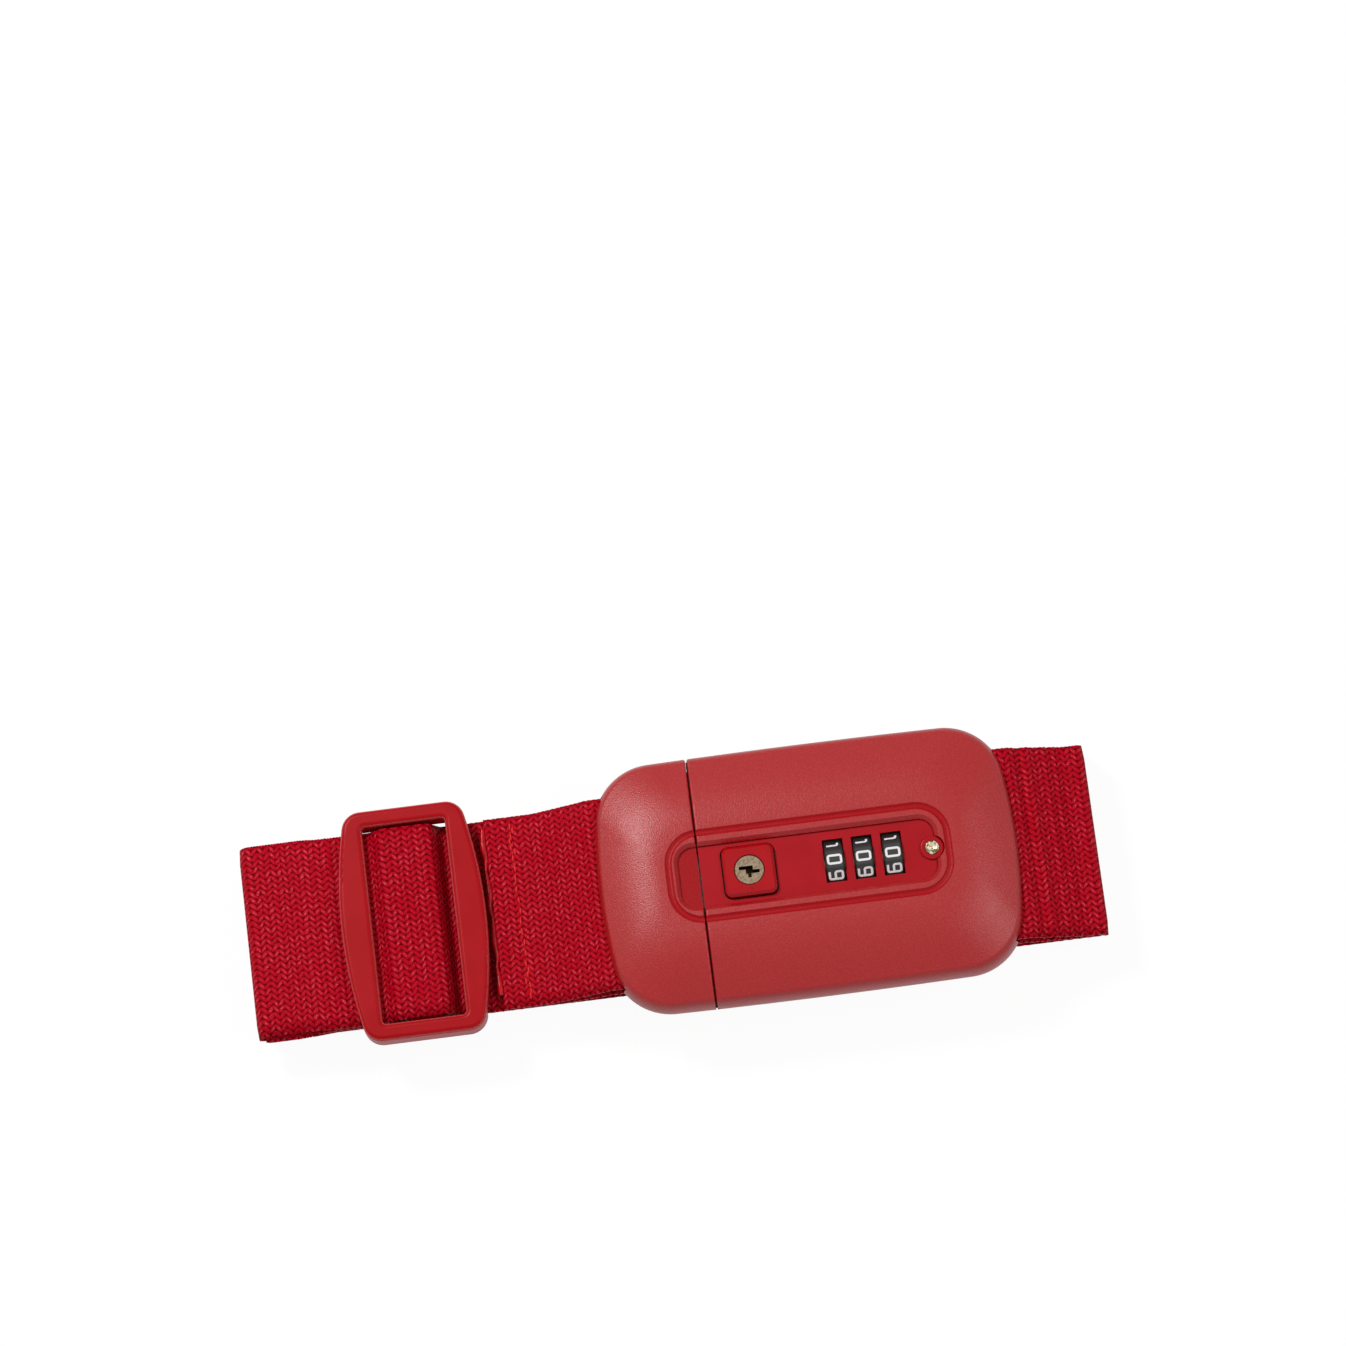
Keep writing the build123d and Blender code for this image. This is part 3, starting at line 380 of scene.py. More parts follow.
housingRed = mattePlastic()
panelRed = satinPlastic("panelRed", rgb(166, 4, 18), rgb(174, 8, 24), 0.3, 0.2)
buttonRed = satinPlastic("buttonRed", rgb(170, 2, 12), rgb(180, 5, 18), 0.2, 0.22)
# painted highlight: a pale speckled band along the slider's top rounded edges
glideEdgeHighlight = {
    "low": glideHigh[2] - 1.1, "high": glideHigh[2] - 0.25, "fadeIn": 0.3, "fadeOut": 0.2, "share": 0.45,
    "speckFrom": 0.2, "speckTo": 0.6, "colour": rgb(226, 120, 118),
}
glideRed = satinPlastic("glideRed", rgb(168, 3, 14), rgb(174, 8, 20), 0.34, 0.13, glideEdgeHighlight)
# painted shade: dark red for the land down in the seam
seamShade = satinPlastic("seamShade", rgb(84, 6, 10), rgb(70, 4, 8), 0.5, 0.15)
keyNickel = agedNickel()
pinNickel = mottledReflectionNickel()
steel = metal("steel", rgb(178, 178, 180), 0.3, 1400)
wire = metal("springWire", rgb(150, 150, 154), 0.28, 2000)
brass = metal("brass", rgb(206, 168, 96), 0.3, 1200)
webbingRed = herringbone()
threadRed = threadFinish()
sealedRed = sealedFinish()
black = dialBlack()
white = digitWhite()

slotFinish = {
    "housing_red": housingRed, "panel_red": panelRed, "button_red": buttonRed, "slider_red": glideRed,
    "steel": steel, "spring_steel": wire, "brass": brass, "dial_black": black,
    "webbing_red": webbingRed,
}
ownFinish = {"key_cylinder": keyNickel, "reset_pin": pinNickel}
for part in frame["record"]["subparts"]:
    node = nodes[part["node"]]
    node.data.materials.clear()
    node.data.materials.append(ownFinish.get(part["node"]) or slotFinish[part["material_slot"]])
print("finishes made")

webbing = {
    "width": 50.0, "thickness": 1.4, "gap": 0.3, "plies": 8, "columns": 14, "selvedge": 0.6,
    "toothPitch": 1.56, "toothDepth": 0.16, "toothShare": 0.1, "creaseLean": 0.02, "bundleLean": 11.5,
}
pitch = webbing["thickness"] + webbing["gap"]
deck = webbing["plies"] * pitch
half = webbing["thickness"] / 2
lean = math.tan(math.radians(webbing["bundleLean"]))  # how far the bundle's plies lie behind each other
arc = {"degrees": 15, "pieces": 3, "nothing": 1e-6}


def roundedRoute(points, radii, step=0.8):  # even points along runs joined by arcs
    corners = [Vector(p) for p in points]
    route = [corners[0]]
    for before, corner, after, radius in zip(corners, corners[1:], corners[2:], radii):
        back = (before - corner).normalized()
        on = (after - corner).normalized()
        turn = math.acos(max(-1, min(1, back.dot(on))))
        reach = radius / math.tan(turn / 2)
        start = corner + back * reach
        centre = corner + (back + on).normalized() * (radius / math.sin(turn / 2))
        sweep = math.pi - turn
        pieces = max(arc["pieces"], math.ceil(sweep * radius / step),
                     math.ceil(math.degrees(sweep) / arc["degrees"]))
        sign = 1 if back.x * on.y - back.y * on.x < 0 else -1
        arm = start - centre
        for n in range(pieces + 1):
            angle = sign * sweep * n / pieces
            x = arm.x * math.cos(angle) - arm.y * math.sin(angle)
            y = arm.x * math.sin(angle) + arm.y * math.cos(angle)
            route.append(centre + Vector((x, y)))
    route.append(corners[-1])
    even = [route[0]]
    for low, high in zip(route, route[1:]):
        length = (high - low).length
        if length < arc["nothing"]:
            continue
        count = max(1, math.ceil(length / step))
        even += [low.lerp(high, n / count) for n in range(1, count + 1)]
    return even


def weaveBand(name, route, creases=(), shift=None):
    width, thickness, columns = webbing["width"], webbing["thickness"], webbing["columns"]
    across = [width * (n / columns - 0.5) for n in range(columns + 1)]
    ring = [(y, thickness / 2) for y in across] + [(y, -thickness / 2) for y in reversed(across)]
    for corner in (0, columns, columns + 1, len(ring) - 1):  # thinner at the two selvedges
        ring[corner] = (ring[corner][0], webbing["selvedge"] * ring[corner][1])
    count = len(ring)
    points, faces, maps = [], [], []
    travelled = 0.0
    for n, place in enumerate(route):
        before, after = route[max(0, n - 1)], route[min(len(route) - 1, n + 1)]
        travelled += (place - route[n - 1]).length if n else 0.0
        run = (after - before).normalized()
        flip = -1 if run.x < 0 else 1
        up = Vector((-run.y, run.x)) * flip
        moved = shift(place) if shift else 0.0
        for y, rise in ring:
            edge = max(0.0, abs(y) / (width / 2) - (1 - webbing["toothShare"])) / webbing["toothShare"]
            wave = math.cos(2 * math.pi * travelled / webbing["toothPitch"])
            tooth = math.copysign(webbing["toothDepth"] * edge * wave, y)
            swell = 0.0
            if place.y > deck:
                for x, reach, height in creases:
                    swell += height * math.exp(-((place.x - x + webbing["creaseLean"] * y) / reach) ** 2)
            spot = place + up * (flip * rise + swell)
            drift = max(0.0, deck - spot.y) * lean
            points.append(Vector((spot.x, y + tooth + drift + moved, spot.y)) * mm)
            maps.append((travelled, y))
    for n in range(len(route) - 1):
        for k in range(count):
            following = (k + 1) % count
            faces.append((n * count + k, (n + 1) * count + k, (n + 1) * count + following,
                          n * count + following))
    last = (len(route) - 1) * count
    faces.append(tuple(range(count)))
    faces.append(tuple(last + k for k in reversed(range(count))))
    mesh = bpy.data.meshes.new(name)
    mesh.from_pydata(points, [], faces)
    woven = mesh.uv_layers.new(name="weave")
    for loop in mesh.loops:
        woven.data[loop.index].uv = maps[loop.vertex_index]
    mesh.polygons.foreach_set("use_smooth", [True] * len(mesh.polygons))
    mesh.materials.append(webbingRed)
    piece = bpy.data.objects.new(name, mesh)
    bpy.context.scene.collection.objects.link(piece)
    travelled * mm
    return piece


glideMiddle = (glideLow[0] + glideHigh[0]) / 2
lockBar = span("lock_strap_bar")
tongueBar = span("tongue_strap_bar")
lockBarX = (lockBar[0][0] + lockBar[1][0]) / 2
tongueBarX = (tongueBar[0][0] + tongueBar[1][0]) / 2
barZ = (lockBar[0][2] + lockBar[1][2]) / 2
bundleLeft, bundleRight = cadBox[0][0] / mm, cadBox[1][0] / mm

underplies = [deck + half - pitch * n for n in range(webbing["plies"] + 1)]
zero, one, two = deck + half, deck + half + pitch, deck + half + 2 * pitch
tailLeft = bundleLeft + half
webLeft = tailLeft + pitch
foldRight = bundleRight - pitch - half
foldLink = 12.0  # webbing on each side of the bend that opens
tight = 0.49  # share of the distance between two plies that a fold's radius takes
glideRoute = {
    "barEdge": 5.7, "sewnTop": 4.3, "sewnFoot": 7.1, "humpTop": 6.0, "humpFoot": 8.9, "bend": 1.8,
    "sewnBack": 9.0, "drop": 5.0, "handover": 4.2, "blendInset": 3.0, "step": 0.4,
}
glideRoute["sewnHigh"] = tailHigh[2] - half - pitch
buckleRoute = {
    "loop": 3.0, "slope": 12.0, "extra": 3.0, "bend": 8.0, "sewnEnd": 1.65, "handover": 2.0, "step": 0.5,
}
# each crease: how far along the webbing, how wide, how high
humpCreases = [(glideMiddle + x, reach, height) for x, reach, height in
               ((-4.6, 0.6, 0.36), (-1.4, 0.5, 0.42), (1.5, 0.45, 0.4), (4.3, 0.6, 0.36))]
tailCreases = [(glideLow[0] - x, reach, height) for x, reach, height in
               ((1.5, 0.45, 0.34), (3.3, 0.5, 0.38), (6.2, 0.6, 0.28))]
sewnCreases = [(glideHigh[0] + x, reach, height) for x, reach, height in
               ((4.15, 0.6, -0.26), (8.45, 0.8, -0.18), (29.0, 1.2, 0.25))]
lockCreases = [(buckleRight + x, reach, height) for x, reach, height in
               ((3.7, 0.8, -0.7), (6.0, 0.8, 0.45), (10.4, 0.7, 0.42), (13.0, 0.6, 0.36))]


askew = {"start": 4, "length": 10, "tail": 0.7, "peek": -0.6}


def sideways(across, floor, ceiling):  # the plies left of the tri-glide lie a little askew
    def shift(place):
        ramp = max(0.0, min(1.0, (glideLow[0] - askew["start"] - place.x) / askew["length"]))
        return across * ramp * max(0.0, min(1.0, (place.y - floor) / (ceiling - floor)))
    return shift


tailShift = sideways(askew["tail"], underplies[2], one)
peekShift = sideways(askew["peek"], underplies[1], zero)


def layTongueWebbing():
    loop, bend = buckleRoute["loop"], buckleRoute["bend"]
    handover = buckleLeft - buckleRoute["handover"]  # where the loop's lower ply becomes the free run
    slopeEnd = buckleLeft - buckleRoute["slope"]
    whole = roundedRoute(
        [(glideHigh[0] - glideRoute["handover"], zero), (slopeEnd, zero), (buckleLeft, barZ - loop),
         (tongueBarX + loop, barZ - loop), (tongueBarX + loop, barZ + loop), (buckleLeft, barZ + loop),
         (slopeEnd - buckleRoute["extra"], one), (glideHigh[0] + buckleRoute["sewnEnd"], one)],
        [bend, bend / 2, 2 * tight * loop, 2 * tight * loop, bend / 2, bend], buckleRoute["step"],
    )
    cut = next(n for n, place in enumerate(whole) if place.x > handover)
    run = weaveBand("tongueRun", whole[:cut + 1])
    glideEdge = glideHigh[0] - glideRoute["blendInset"]
    handover * mm
    glideEdge * mm
    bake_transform(run)
    loopPiece = weaveBand("tongueLoop", whole[cut:], sewnCreases)
    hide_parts("tongue_strap")
    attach(loopPiece, "tongue")


def layTail():
    top, foot, bend = glideRoute["humpTop"], glideRoute["humpFoot"], glideRoute["bend"]
    over = glideRoute["sewnHigh"] + pitch
    sewn = glideLow[0] - glideRoute["sewnBack"]
    turn = tight * (one - underplies[2])
    route = roundedRoute(
        [(glideHigh[0] - glideRoute["handover"], zero), (glideMiddle + foot, zero),
         (glideMiddle + top, over), (glideMiddle - top, over), (glideMiddle - foot, two), (sewn, two),
         (sewn - glideRoute["drop"], one), (tailLeft, one), (tailLeft, underplies[2]),
         (tailHigh[0], underplies[2])],
        [bend, bend, bend, bend, bend, bend, turn, turn], glideRoute["step"],
    )
    tail = weaveBand("tailWebbing", route,
                     humpCreases + tailCreases, tailShift)
    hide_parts("strap_tail")
    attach(tail, "slider")


def layGlideEnd():
    bar, bend, high = glideRoute["barEdge"], glideRoute["bend"], glideRoute["sewnHigh"]
    turn = tight * (high - zero)
    route = roundedRoute(
        [(webLeft + foldLink, zero), (glideMiddle + bar, zero), (glideMiddle + bar, high),
         (glideMiddle - glideRoute["sewnTop"], high), (glideMiddle - glideRoute["sewnFoot"], one),
         (glideLow[0] - glideRoute["sewnBack"], one)],
        [turn, turn, bend, bend],
    )
    glideEnd = weaveBand("glideEndWebbing", route, shift=peekShift)
    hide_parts("strap_glide_end")
    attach(glideEnd, "slider")


def layFoldLinks():
    # the bend that would open when the slider or the tongue is pulled away, built as two still halves
    reach = webLeft + foldLink
    bend = roundedRoute([(reach, zero), (webLeft, zero), (webLeft, underplies[1]), (reach, underplies[1])],
                        [tight * pitch, tight * pitch], glideRoute["step"])
    middle = min(range(len(bend)), key=lambda n: bend[n].x + abs(bend[n].y - (zero + underplies[1]) / 2))
    top = weaveBand("foldLinkUpper", bend[:middle + 1], shift=peekShift)
    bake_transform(top)
    bottom = weaveBand("foldLinkLower", bend[middle:], shift=peekShift)
    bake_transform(bottom)


def layFolds():
    last = {"radius": 2.5, "step": 1.2}
    order = [underplies[1]] + underplies[3:]
    corners = [(webLeft + foldLink, order[0])]
    bends = []
    for n, (high, low) in enumerate(zip(order, order[1:])):
        end = webLeft if n % 2 else foldRight
        corners += [(end, high), (end, low)]
        bends += [tight * (high - low)] * 2
    corners += [(bundleRight - half, order[-1]), (bundleRight - half, zero)]
    route = roundedRoute(corners, bends + [last["radius"]], last["step"])
    folds = weaveBand("foldedWebbing", route)
    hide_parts("strap_folds")
    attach(folds, "lock")


def layLockEnd():
    loop, bend = buckleRoute["loop"], buckleRoute["bend"]
    slopeEnd = buckleRight + buckleRoute["slope"]
    route = roundedRoute(
        [(bundleRight - half, zero), (bundleRight - half, one), (slopeEnd + buckleRoute["extra"], one),
         (buckleRight, barZ + loop), (lockBarX - loop, barZ + loop), (lockBarX - loop, barZ - loop),
         (buckleRight, barZ - loop), (slopeEnd, zero), (bundleRight - 3 * pitch, zero)],
        [2 * tight * pitch, bend, bend / 2, 2 * tight * loop, 2 * tight * loop, bend / 2, bend],
        buckleRoute["step"],
    )
    end = weaveBand("lockEndWebbing", route, lockCreases)
    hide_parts("strap_lock_end")
    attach(end, "lock")


layTongueWebbing()
layTail()
layGlideEnd()
layFoldLinks()
layFolds()
layLockEnd()
print("webbing laid")


def deselect():
    bpy.ops.object.select_all(action="DESELECT")


def joined(pieces, name, finish, body):
    deselect()
    for piece in pieces:
        piece.select_set(True)
    bpy.context.view_layer.objects.active = pieces[0]
    bpy.ops.object.join()
    whole = bpy.context.object
    whole.name = name
    whole.data.materials.clear()
    whole.data.materials.append(finish)
    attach(whole, body)
    return whole


def copied(piece, move):  # a copy with its own mesh, its place in the mesh
    other = piece.copy()
    other.data = piece.data.copy()
    bpy.context.scene.collection.objects.link(other)
    other.data.transform(move)
    return other


def modelStitch(seam):  # an arch of thread whose ends dive into the webbing
    deselect()
    bpy.ops.mesh.primitive_cylinder_add(
        vertices=seam["sides"], radius=seam["thread"] * mm, depth=seam["flat"] * mm,
        rotation=(math.pi / 2, 0, 0),
    )
    stitch = bpy.context.object
    bpy.ops.object.transform_apply(rotation=True)
    for side in (1, -1):
        reach = seam["flat"] / 2
        for dip, thin in seam["dips"]:
            bpy.ops.object.mode_set(mode="EDIT")
            bpy.ops.mesh.select_mode(type="FACE")
            bpy.ops.mesh.select_all(action="DESELECT")
            bpy.ops.object.mode_set(mode="OBJECT")
            for face in stitch.data.polygons:
                outer = face.center.y * side > reach * seam["outer"] * mm
                face.select = face.normal.y * side > seam["facing"] and outer
            bpy.ops.object.mode_set(mode="EDIT")
            reach += seam["end"]
            bpy.ops.mesh.extrude_region_move(
                TRANSFORM_OT_translate={"value": (0, side * seam["end"] * mm, -dip * mm)})
            bpy.ops.transform.resize(value=(thin, 1, thin), center_override=(0, side * reach * mm, 0))
            bpy.ops.object.mode_set(mode="OBJECT")
    bpy.ops.object.shade_smooth()
    return stitch


def stitchRow(name, x, height, body):
    seam = {
        "thread": 0.29, "flat": 0.7, "end": 0.32, "dips": ((0.08, 0.8), (0.24, 0.5)), "sides": 8,
        "outer": 0.98, "facing": 0.7, "pitch": 2.8, "margin": 2.4,
    }
    hand = {"sway": 0.2, "swayWave": 1.7, "lean": 0.012, "turn": 0.09, "turnWave": 2.3}
    backTack = {"stitches": 3, "offset": 0.4, "side": 0.5}
    stitch = modelStitch(seam)
    reach = webbing["width"] / 2 - seam["margin"]
    count = int(2 * reach / seam["pitch"])
    row = []
    for n in range(count + 1):
        y = (n - count / 2) * seam["pitch"]
        sway = hand["sway"] * math.sin(hand["swayWave"] * n) - hand["lean"] * y
        turn = Matrix.Rotation(hand["turn"] * math.sin(hand["turnWave"] * n), 4, "Z")
        row.append(copied(stitch, Matrix.Translation(Vector((x + sway, y, height)) * mm) @ turn))
    for end in (1, -1):  # sewn back over itself at both edges
        for n in range(backTack["stitches"]):
            y = end * (count / 2 - n - backTack["offset"]) * seam["pitch"]
            beside = x + backTack["side"] * (-1) ** n
            row.append(copied(stitch, Matrix.Translation(Vector((beside, y, height)) * mm)))
    bpy.data.objects.remove(stitch)
    joined(row, name, threadRed, body)


def sealEnd():
    # the cut end of the sewn-down ply, melted into an uneven bead
    bead = {
        "radius": 0.85, "top": 22.4, "bottom": -21.5, "points": 18, "inset": -0.55, "height": 0.7,
        "resolution": 2, "order": 3,
    }
    uneven = {
        "sway": 0.24, "slow": 1.9, "fast": 3.1, "share": 0.6, "late": 1, "lift": 0.12, "liftWave": 2.6,
        "thick": 0.8, "swell": 0.3, "swellWave": 1.3, "swellLate": 0.5,
    }
    deselect()
    curve = bpy.data.curves.new("sealedEnd", "CURVE")
    curve.dimensions = "3D"
    curve.bevel_depth = bead["radius"] * mm
    curve.bevel_resolution = bead["resolution"]
    curve.use_fill_caps = True
    spline = curve.splines.new("NURBS")
    spline.points.add(bead["points"] - 1)
    for n, point in enumerate(spline.points):
        y = bead["bottom"] + (bead["top"] - bead["bottom"]) * n / (bead["points"] - 1)
        fast = uneven["share"] * math.sin(uneven["fast"] * n + uneven["late"])
        sway = uneven["sway"] * (math.sin(uneven["slow"] * n) + fast)
        x = glideHigh[0] + buckleRoute["sewnEnd"] + bead["inset"] + sway
        z = one + bead["height"] + uneven["lift"] * math.sin(uneven["liftWave"] * n)
        point.co = (x * mm, y * mm, z * mm, 1)
        swell = math.sin(uneven["swellWave"] * n + uneven["swellLate"])
        point.radius = uneven["thick"] + uneven["swell"] * swell
    spline.order_u = bead["order"]
    spline.use_endpoint_u = True
    end = bpy.data.objects.new("sealedEnd", curve)
    bpy.context.scene.collection.objects.link(end)
    end.select_set(True)
    bpy.context.view_layer.objects.active = end
    bpy.ops.object.convert(target="MESH")
    end = bpy.context.object
    bpy.ops.object.shade_smooth()
    end.data.materials.append(sealedRed)
    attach(end, "tongue")


def closeSeam(node):
    # a land on the lock's end face, painted dark as shade, which fills the seam down inside its rounded
    # edges
    land = {
        "shrink": (1, 0.985, 0.93), "thickness": 0.34, "weld": 0.001, "above": 2, "facing": 0.99,
        "flat": 0.02,
    }
    deselect()
    piece = copied(nodes[node], Matrix.Identity(4))
    piece.name = "seamLand_" + node
    piece.select_set(True)
    bpy.context.view_layer.objects.active = piece
    bpy.ops.object.mode_set(mode="EDIT")
    bpy.ops.mesh.select_all(action="SELECT")
    bpy.ops.mesh.remove_doubles(threshold=land["weld"] * mm)
    bpy.ops.mesh.select_mode(type="FACE")
    bpy.ops.mesh.select_all(action="DESELECT")
    bpy.ops.object.mode_set(mode="OBJECT")
    above = (deck + land["above"]) * mm
    front = min(vertex.co.x for vertex in piece.data.vertices if vertex.co.z > above)
    for face in piece.data.polygons:
        turned = face.normal.x > -land["facing"]
        face.select = turned or abs(face.center.x - front) > land["flat"] * mm
    bpy.ops.object.mode_set(mode="EDIT")
    bpy.ops.mesh.delete(type="FACE")
    bpy.ops.mesh.select_all(action="SELECT")
    bpy.ops.transform.resize(value=land["shrink"], center_override=(front, 0, shellLow[2] * mm))
    bpy.ops.object.mode_set(mode="OBJECT")
    wall = piece.modifiers.new("wall", "SOLIDIFY")
    wall.thickness = land["thickness"] * mm
    wall.offset = 1
    bpy.ops.object.modifier_apply(modifier=wall.name)
    piece.data.materials.clear()
    piece.data.materials.append(seamShade)
    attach(piece, "lock")
    print(piece.name, len(piece.data.polygons), "faces")


tongueSeam = {"fromGlide": 8.45, "sunk": 0.06}
glideSeam = {"fromGlide": 6.0, "sunk": 0.12}
sewnFace = one + half
closeSeam("lock_front_shell")
closeSeam("lock_back_cover")
stitchRow("tongueStitches", glideHigh[0] + tongueSeam["fromGlide"], sewnFace - tongueSeam["sunk"], "tongue")
stitchRow("glideStitches", glideLow[0] - glideSeam["fromGlide"], sewnFace - glideSeam["sunk"], "slider")
sealEnd()
print("ends sewn and sealed")


# the dials' digits: strokes on a grid of half widths and half heights
digitStrokes = (
    ([(0, 1), (1, 1), (1, -1), (-1, -1), (-1, 1), (0, 1)],),
    ([(-0.7, 0.62), (0.15, 1), (0.15, -1)],),
    ([(-1, 1), (1, 1), (1, 0), (-1, 0), (-1, -1), (1, -1)],),
    ([(-1, 1), (1, 1), (1, -1), (-1, -1)], [(-0.5, 0), (0.75, 0)]),
    ([(-0.8, 1), (-0.8, -0.35), (1, -0.35)], [(0.5, 0.4), (0.5, -0.18)], [(0.5, -0.52), (0.5, -1)]),
    ([(1, 1), (-1, 1), (-1, 0.1), (1, 0.1), (1, -1), (-1, -1)],),
    ([(1, 1), (-1, 1), (-1, -1), (1, -1), (1, 0.1), (-0.7, 0.1)],),
    ([(-1, 1), (1, 1), (-0.2, -1)],),
    ([(0, 0.04), (-1, 0.04), (-1, 1), (1, 1), (1, 0.04), (0, 0.04)],
     [(-0.72, -0.32), (-1, -0.5), (-1, -1), (1, -1), (1, -0.5), (0.72, -0.32)]),
    ([(0.7, -0.1), (-1, -0.1), (-1, 1), (1, 1), (1, -1), (-1, -1)],),
)


def strokeMesh(corners, digit):  # one stroke of even width, as a flat curve made a mesh
    points = [(a * digit["halfWidth"], b * digit["halfHeight"]) for a, b in corners]
    path = roundedRoute(points, [digit["round"]] * (len(points) - 2), digit["step"])
    closed = corners[0] == corners[-1]
    edges = ([], [])
    for n, point in enumerate(path):
        before, after = path[max(0, n - 1)], path[min(len(path) - 1, n + 1)]
        run = (after - before).normalized()
        across = Vector((-run.y, run.x)) * digit["stroke"] / 2
        edges[0].append(point + across)
        edges[1].append(point - across)
    outlines = [edge[:-1] for edge in edges] if closed else [edges[0] + edges[1][::-1]]
    curve = bpy.data.curves.new("digit", "CURVE")
    curve.dimensions = "2D"
    curve.fill_mode = "BOTH"
    for outline in outlines:
        spline = curve.splines.new("POLY")
        spline.points.add(len(outline) - 1)
        for spot, place in zip(spline.points, outline):
            spot.co = (place.x * mm, place.y * mm, 0, 1)
        spline.use_cyclic_u = True
    deselect()
    glyph = bpy.data.objects.new("digit", curve)
    bpy.context.scene.collection.objects.link(glyph)
    glyph.select_set(True)
    bpy.context.view_layer.objects.active = glyph
    bpy.ops.object.convert(target="MESH")
    return bpy.context.object


def printDigits():
    digit = {
        "halfWidth": 1.03, "halfHeight": 1.67, "stroke": 0.6, "round": 0.5, "raise": 0.015, "step": 0.3,
    }
    strokes = []
    for number, shapes in enumerate(digitStrokes):
        angle = 2 * math.pi * number / len(digitStrokes)
        out = Vector((0, math.sin(angle), math.cos(angle)))
        up = Vector((1, 0, 0))
        turn = Matrix((up.cross(out), up, out)).transposed().to_4x4()
        for corners in shapes:
            stroke = strokeMesh(corners, digit)
            stroke.data.transform(turn)
            strokes.append((stroke, out))
    for number in (1, 2, 3):
        low, high = span("number_dial_" + str(number))
        middle = Vector([(a + b) / 2 for a, b in zip(low, high)])
        apothem = (high[2] - low[2]) / 2 + digit["raise"]
        printed = [copied(stroke, Matrix.Translation((middle + out * apothem) * mm))
                   for stroke, out in strokes]
        joined(printed, "dialDigits" + str(number), white, "dial_" + str(number))
    for stroke, out in strokes:
        bpy.data.objects.remove(stroke)


printDigits()
print("digits printed")


shot = {
    "tilt": 14.0, "roll": 7.2, "distance": 1400.0, "across": 345.6, "aside": -34.73, "above": 50.0,
    "buckle": buckleMiddle, "height": 25.0, "sensor": 36.0, "nearest": 0.05, "farthest": 10,
}


def aim(holder, back, up):
    right = up.cross(back).normalized()
    turn = Matrix((right, up, back)).transposed().to_4x4()
    holder.matrix_world = Matrix.Translation(holder.location) @ turn


def setCamera():
    tilt, roll = math.radians(shot["tilt"]), math.radians(shot["roll"])
    back = Vector((0, -math.sin(tilt), math.cos(tilt)))
    level = Vector((0, math.cos(tilt), math.sin(tilt)))
    along = Vector((1, 0, 0))
    right = along * math.cos(roll) - level * math.sin(roll)
    up = along * math.sin(roll) + level * math.cos(roll)
    target = Vector((shot["buckle"], 0, shot["height"])) + right * shot["aside"] + up * shot["above"]
    lens = bpy.data.cameras.new("shotCamera")
    lens.sensor_width = shot["sensor"]
    lens.lens = shot["sensor"] * shot["distance"] / shot["across"]
    lens.clip_start, lens.clip_end = shot["nearest"], shot["farthest"]
    camera = bpy.data.objects.new("shotCamera", lens)
    bpy.context.scene.collection.objects.link(camera)
    camera.location = (target + back * shot["distance"]) * mm
    aim(camera, back, up)
    bpy.context.scene.camera = camera


def softLight(name, place, target, size, power):
    lamp = bpy.data.lights.new(name, "AREA")
    lamp.shape = "RECTANGLE"
    lamp.size, lamp.size_y = size
    lamp.energy = power
    holder = bpy.data.objects.new(name, lamp)
    bpy.context.scene.collection.objects.link(holder)
    holder.location = place
    holder.rotation_mode = "QUATERNION"
    holder.rotation_quaternion = (Vector(target) - Vector(place)).to_track_quat("-Z", "Y")


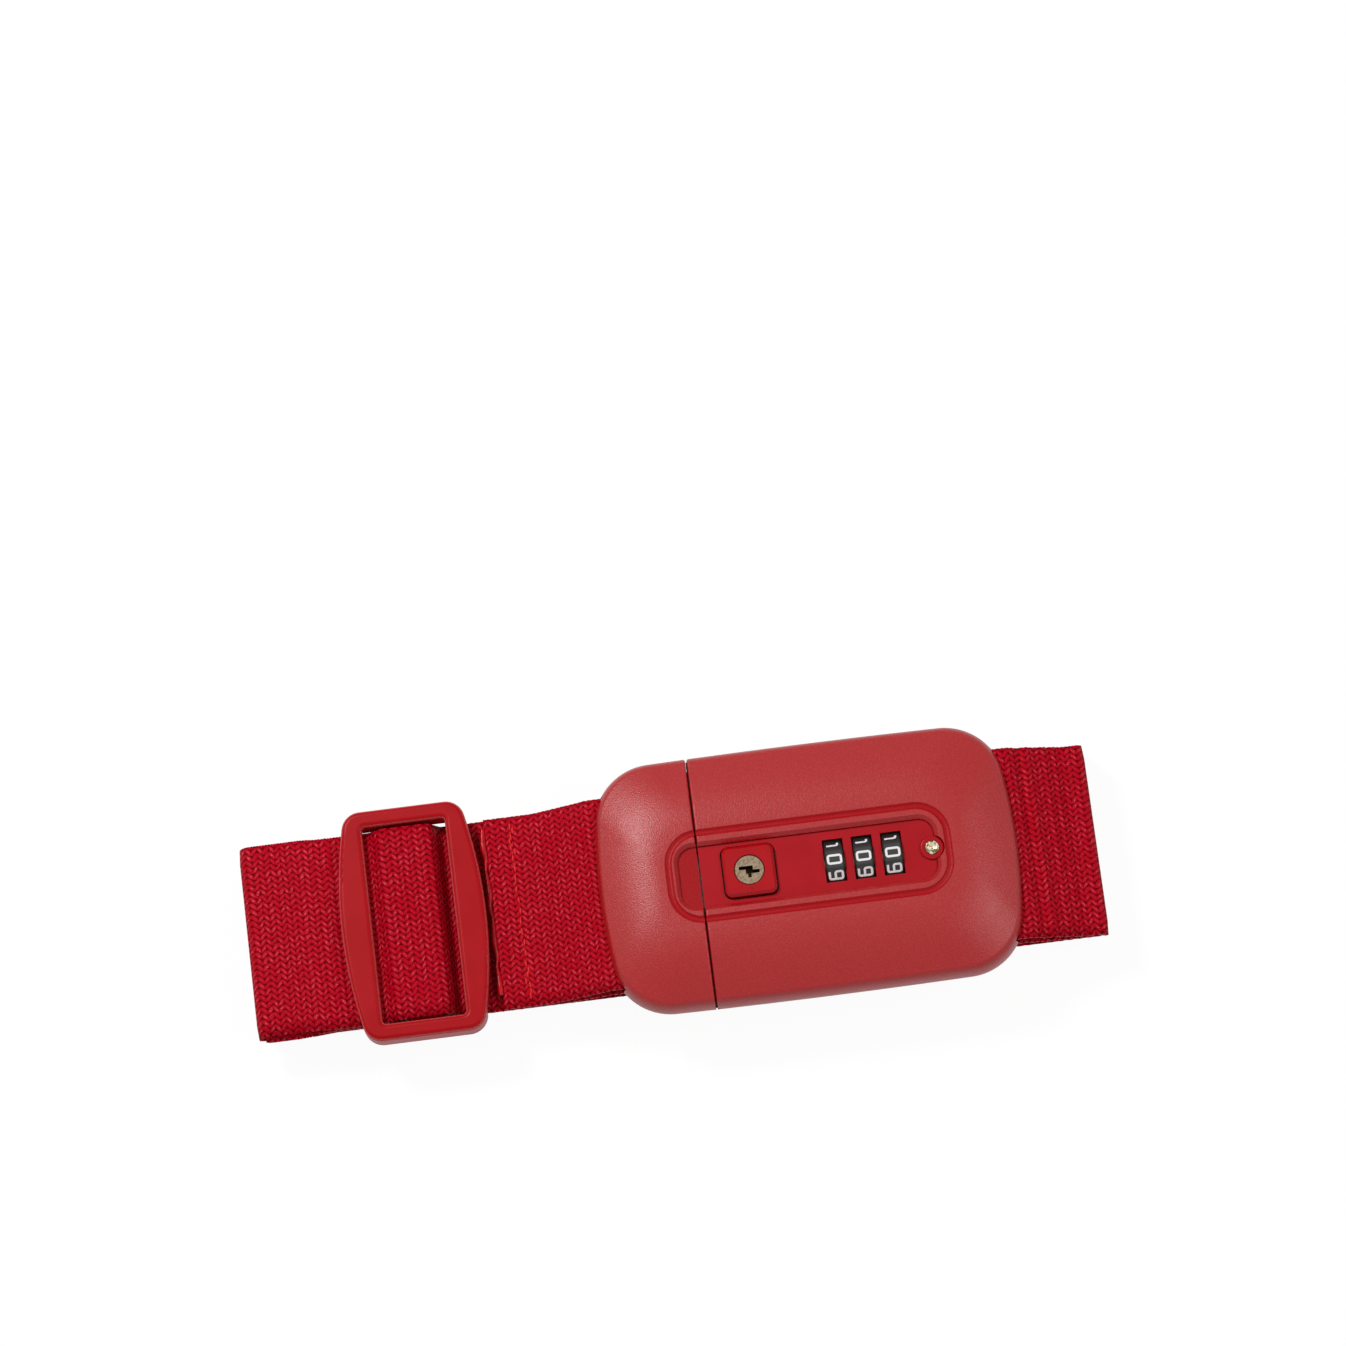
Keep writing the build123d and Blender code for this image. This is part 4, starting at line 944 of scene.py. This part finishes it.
def showWhite(tree, lit, white, output, share=1.0):
    # white to the camera, to reflections and through glass, and lit as usual for everything else
    path = tree.nodes.new("ShaderNodeLightPath")
    factor = path.outputs["Is Camera Ray"]
    for ray in ("Is Glossy Ray", "Is Transmission Ray"):
        either = tree.nodes.new("ShaderNodeMath")
        either.operation = "MAXIMUM"
        tree.links.new(factor, either.inputs[0])
        tree.links.new(path.outputs[ray], either.inputs[1])
        factor = either.outputs[0]
    part = tree.nodes.new("ShaderNodeMath")
    part.operation = "MULTIPLY"
    part.inputs[1].default_value = share
    tree.links.new(factor, part.inputs[0])
    mixed = tree.nodes.new("ShaderNodeMixShader")
    tree.links.new(part.outputs[0], mixed.inputs["Fac"])
    tree.links.new(lit.outputs[0], mixed.inputs[1])
    tree.links.new(white.outputs[0], mixed.inputs[2])
    tree.links.new(mixed.outputs[0], output.inputs["Surface"])


def setFloor():
    look = {  # shadow: the share that light and shade keep
        "side": 3, "colour": (0.8, 0.8, 0.8, 1), "roughness": 0.9, "white": 1.03, "shadow": 0.08,
    }
    deselect()
    bpy.ops.mesh.primitive_plane_add(size=look["side"], location=(0, 0, 0))
    floor = bpy.context.object
    floor.name = "paleFloor"
    cover = bpy.data.materials.new("paleFloor")
    cover.use_nodes = True
    tree = cover.node_tree
    surface = tree.nodes["Principled BSDF"]
    surface.inputs["Base Color"].default_value = look["colour"]
    surface.inputs["Roughness"].default_value = look["roughness"]
    glow = tree.nodes.new("ShaderNodeEmission")
    glow.inputs["Color"].default_value = pureWhite
    glow.inputs["Strength"].default_value = look["white"]
    showWhite(tree, surface, glow, tree.nodes["Material Output"], 1 - look["shadow"])
    floor.data.materials.append(cover)


def setWorld(strength):
    world = bpy.data.worlds.new("softRoom")
    bpy.context.scene.world = world
    world.use_nodes = True
    tree = world.node_tree
    room = tree.nodes["Background"]
    room.inputs["Color"].default_value = pureWhite
    room.inputs["Strength"].default_value = strength
    seen = tree.nodes.new("ShaderNodeBackground")
    seen.inputs["Color"].default_value = pureWhite
    showWhite(tree, room, seen, tree.nodes["World Output"])


lamps = {
    "keyLight": {
        "place": (-0.42, 0.42, 0.86), "target": (0.03, 0, 0.02), "size": (0.18, 0.18), "power": 6.2,
    },
    "rightLight": {
        "place": (0.62, -0.12, 0.8), "target": (0.05, 0, 0.02), "size": (0.3, 0.3), "power": 2.1,
    },
}
roomStrength = 0.3
setCamera()
setFloor()
setWorld(roomStrength)
for name, lamp in lamps.items():
    softLight(name, lamp["place"], lamp["target"], lamp["size"], lamp["power"])
bpy.context.scene.view_settings.view_transform = "Standard"
print("stage set")
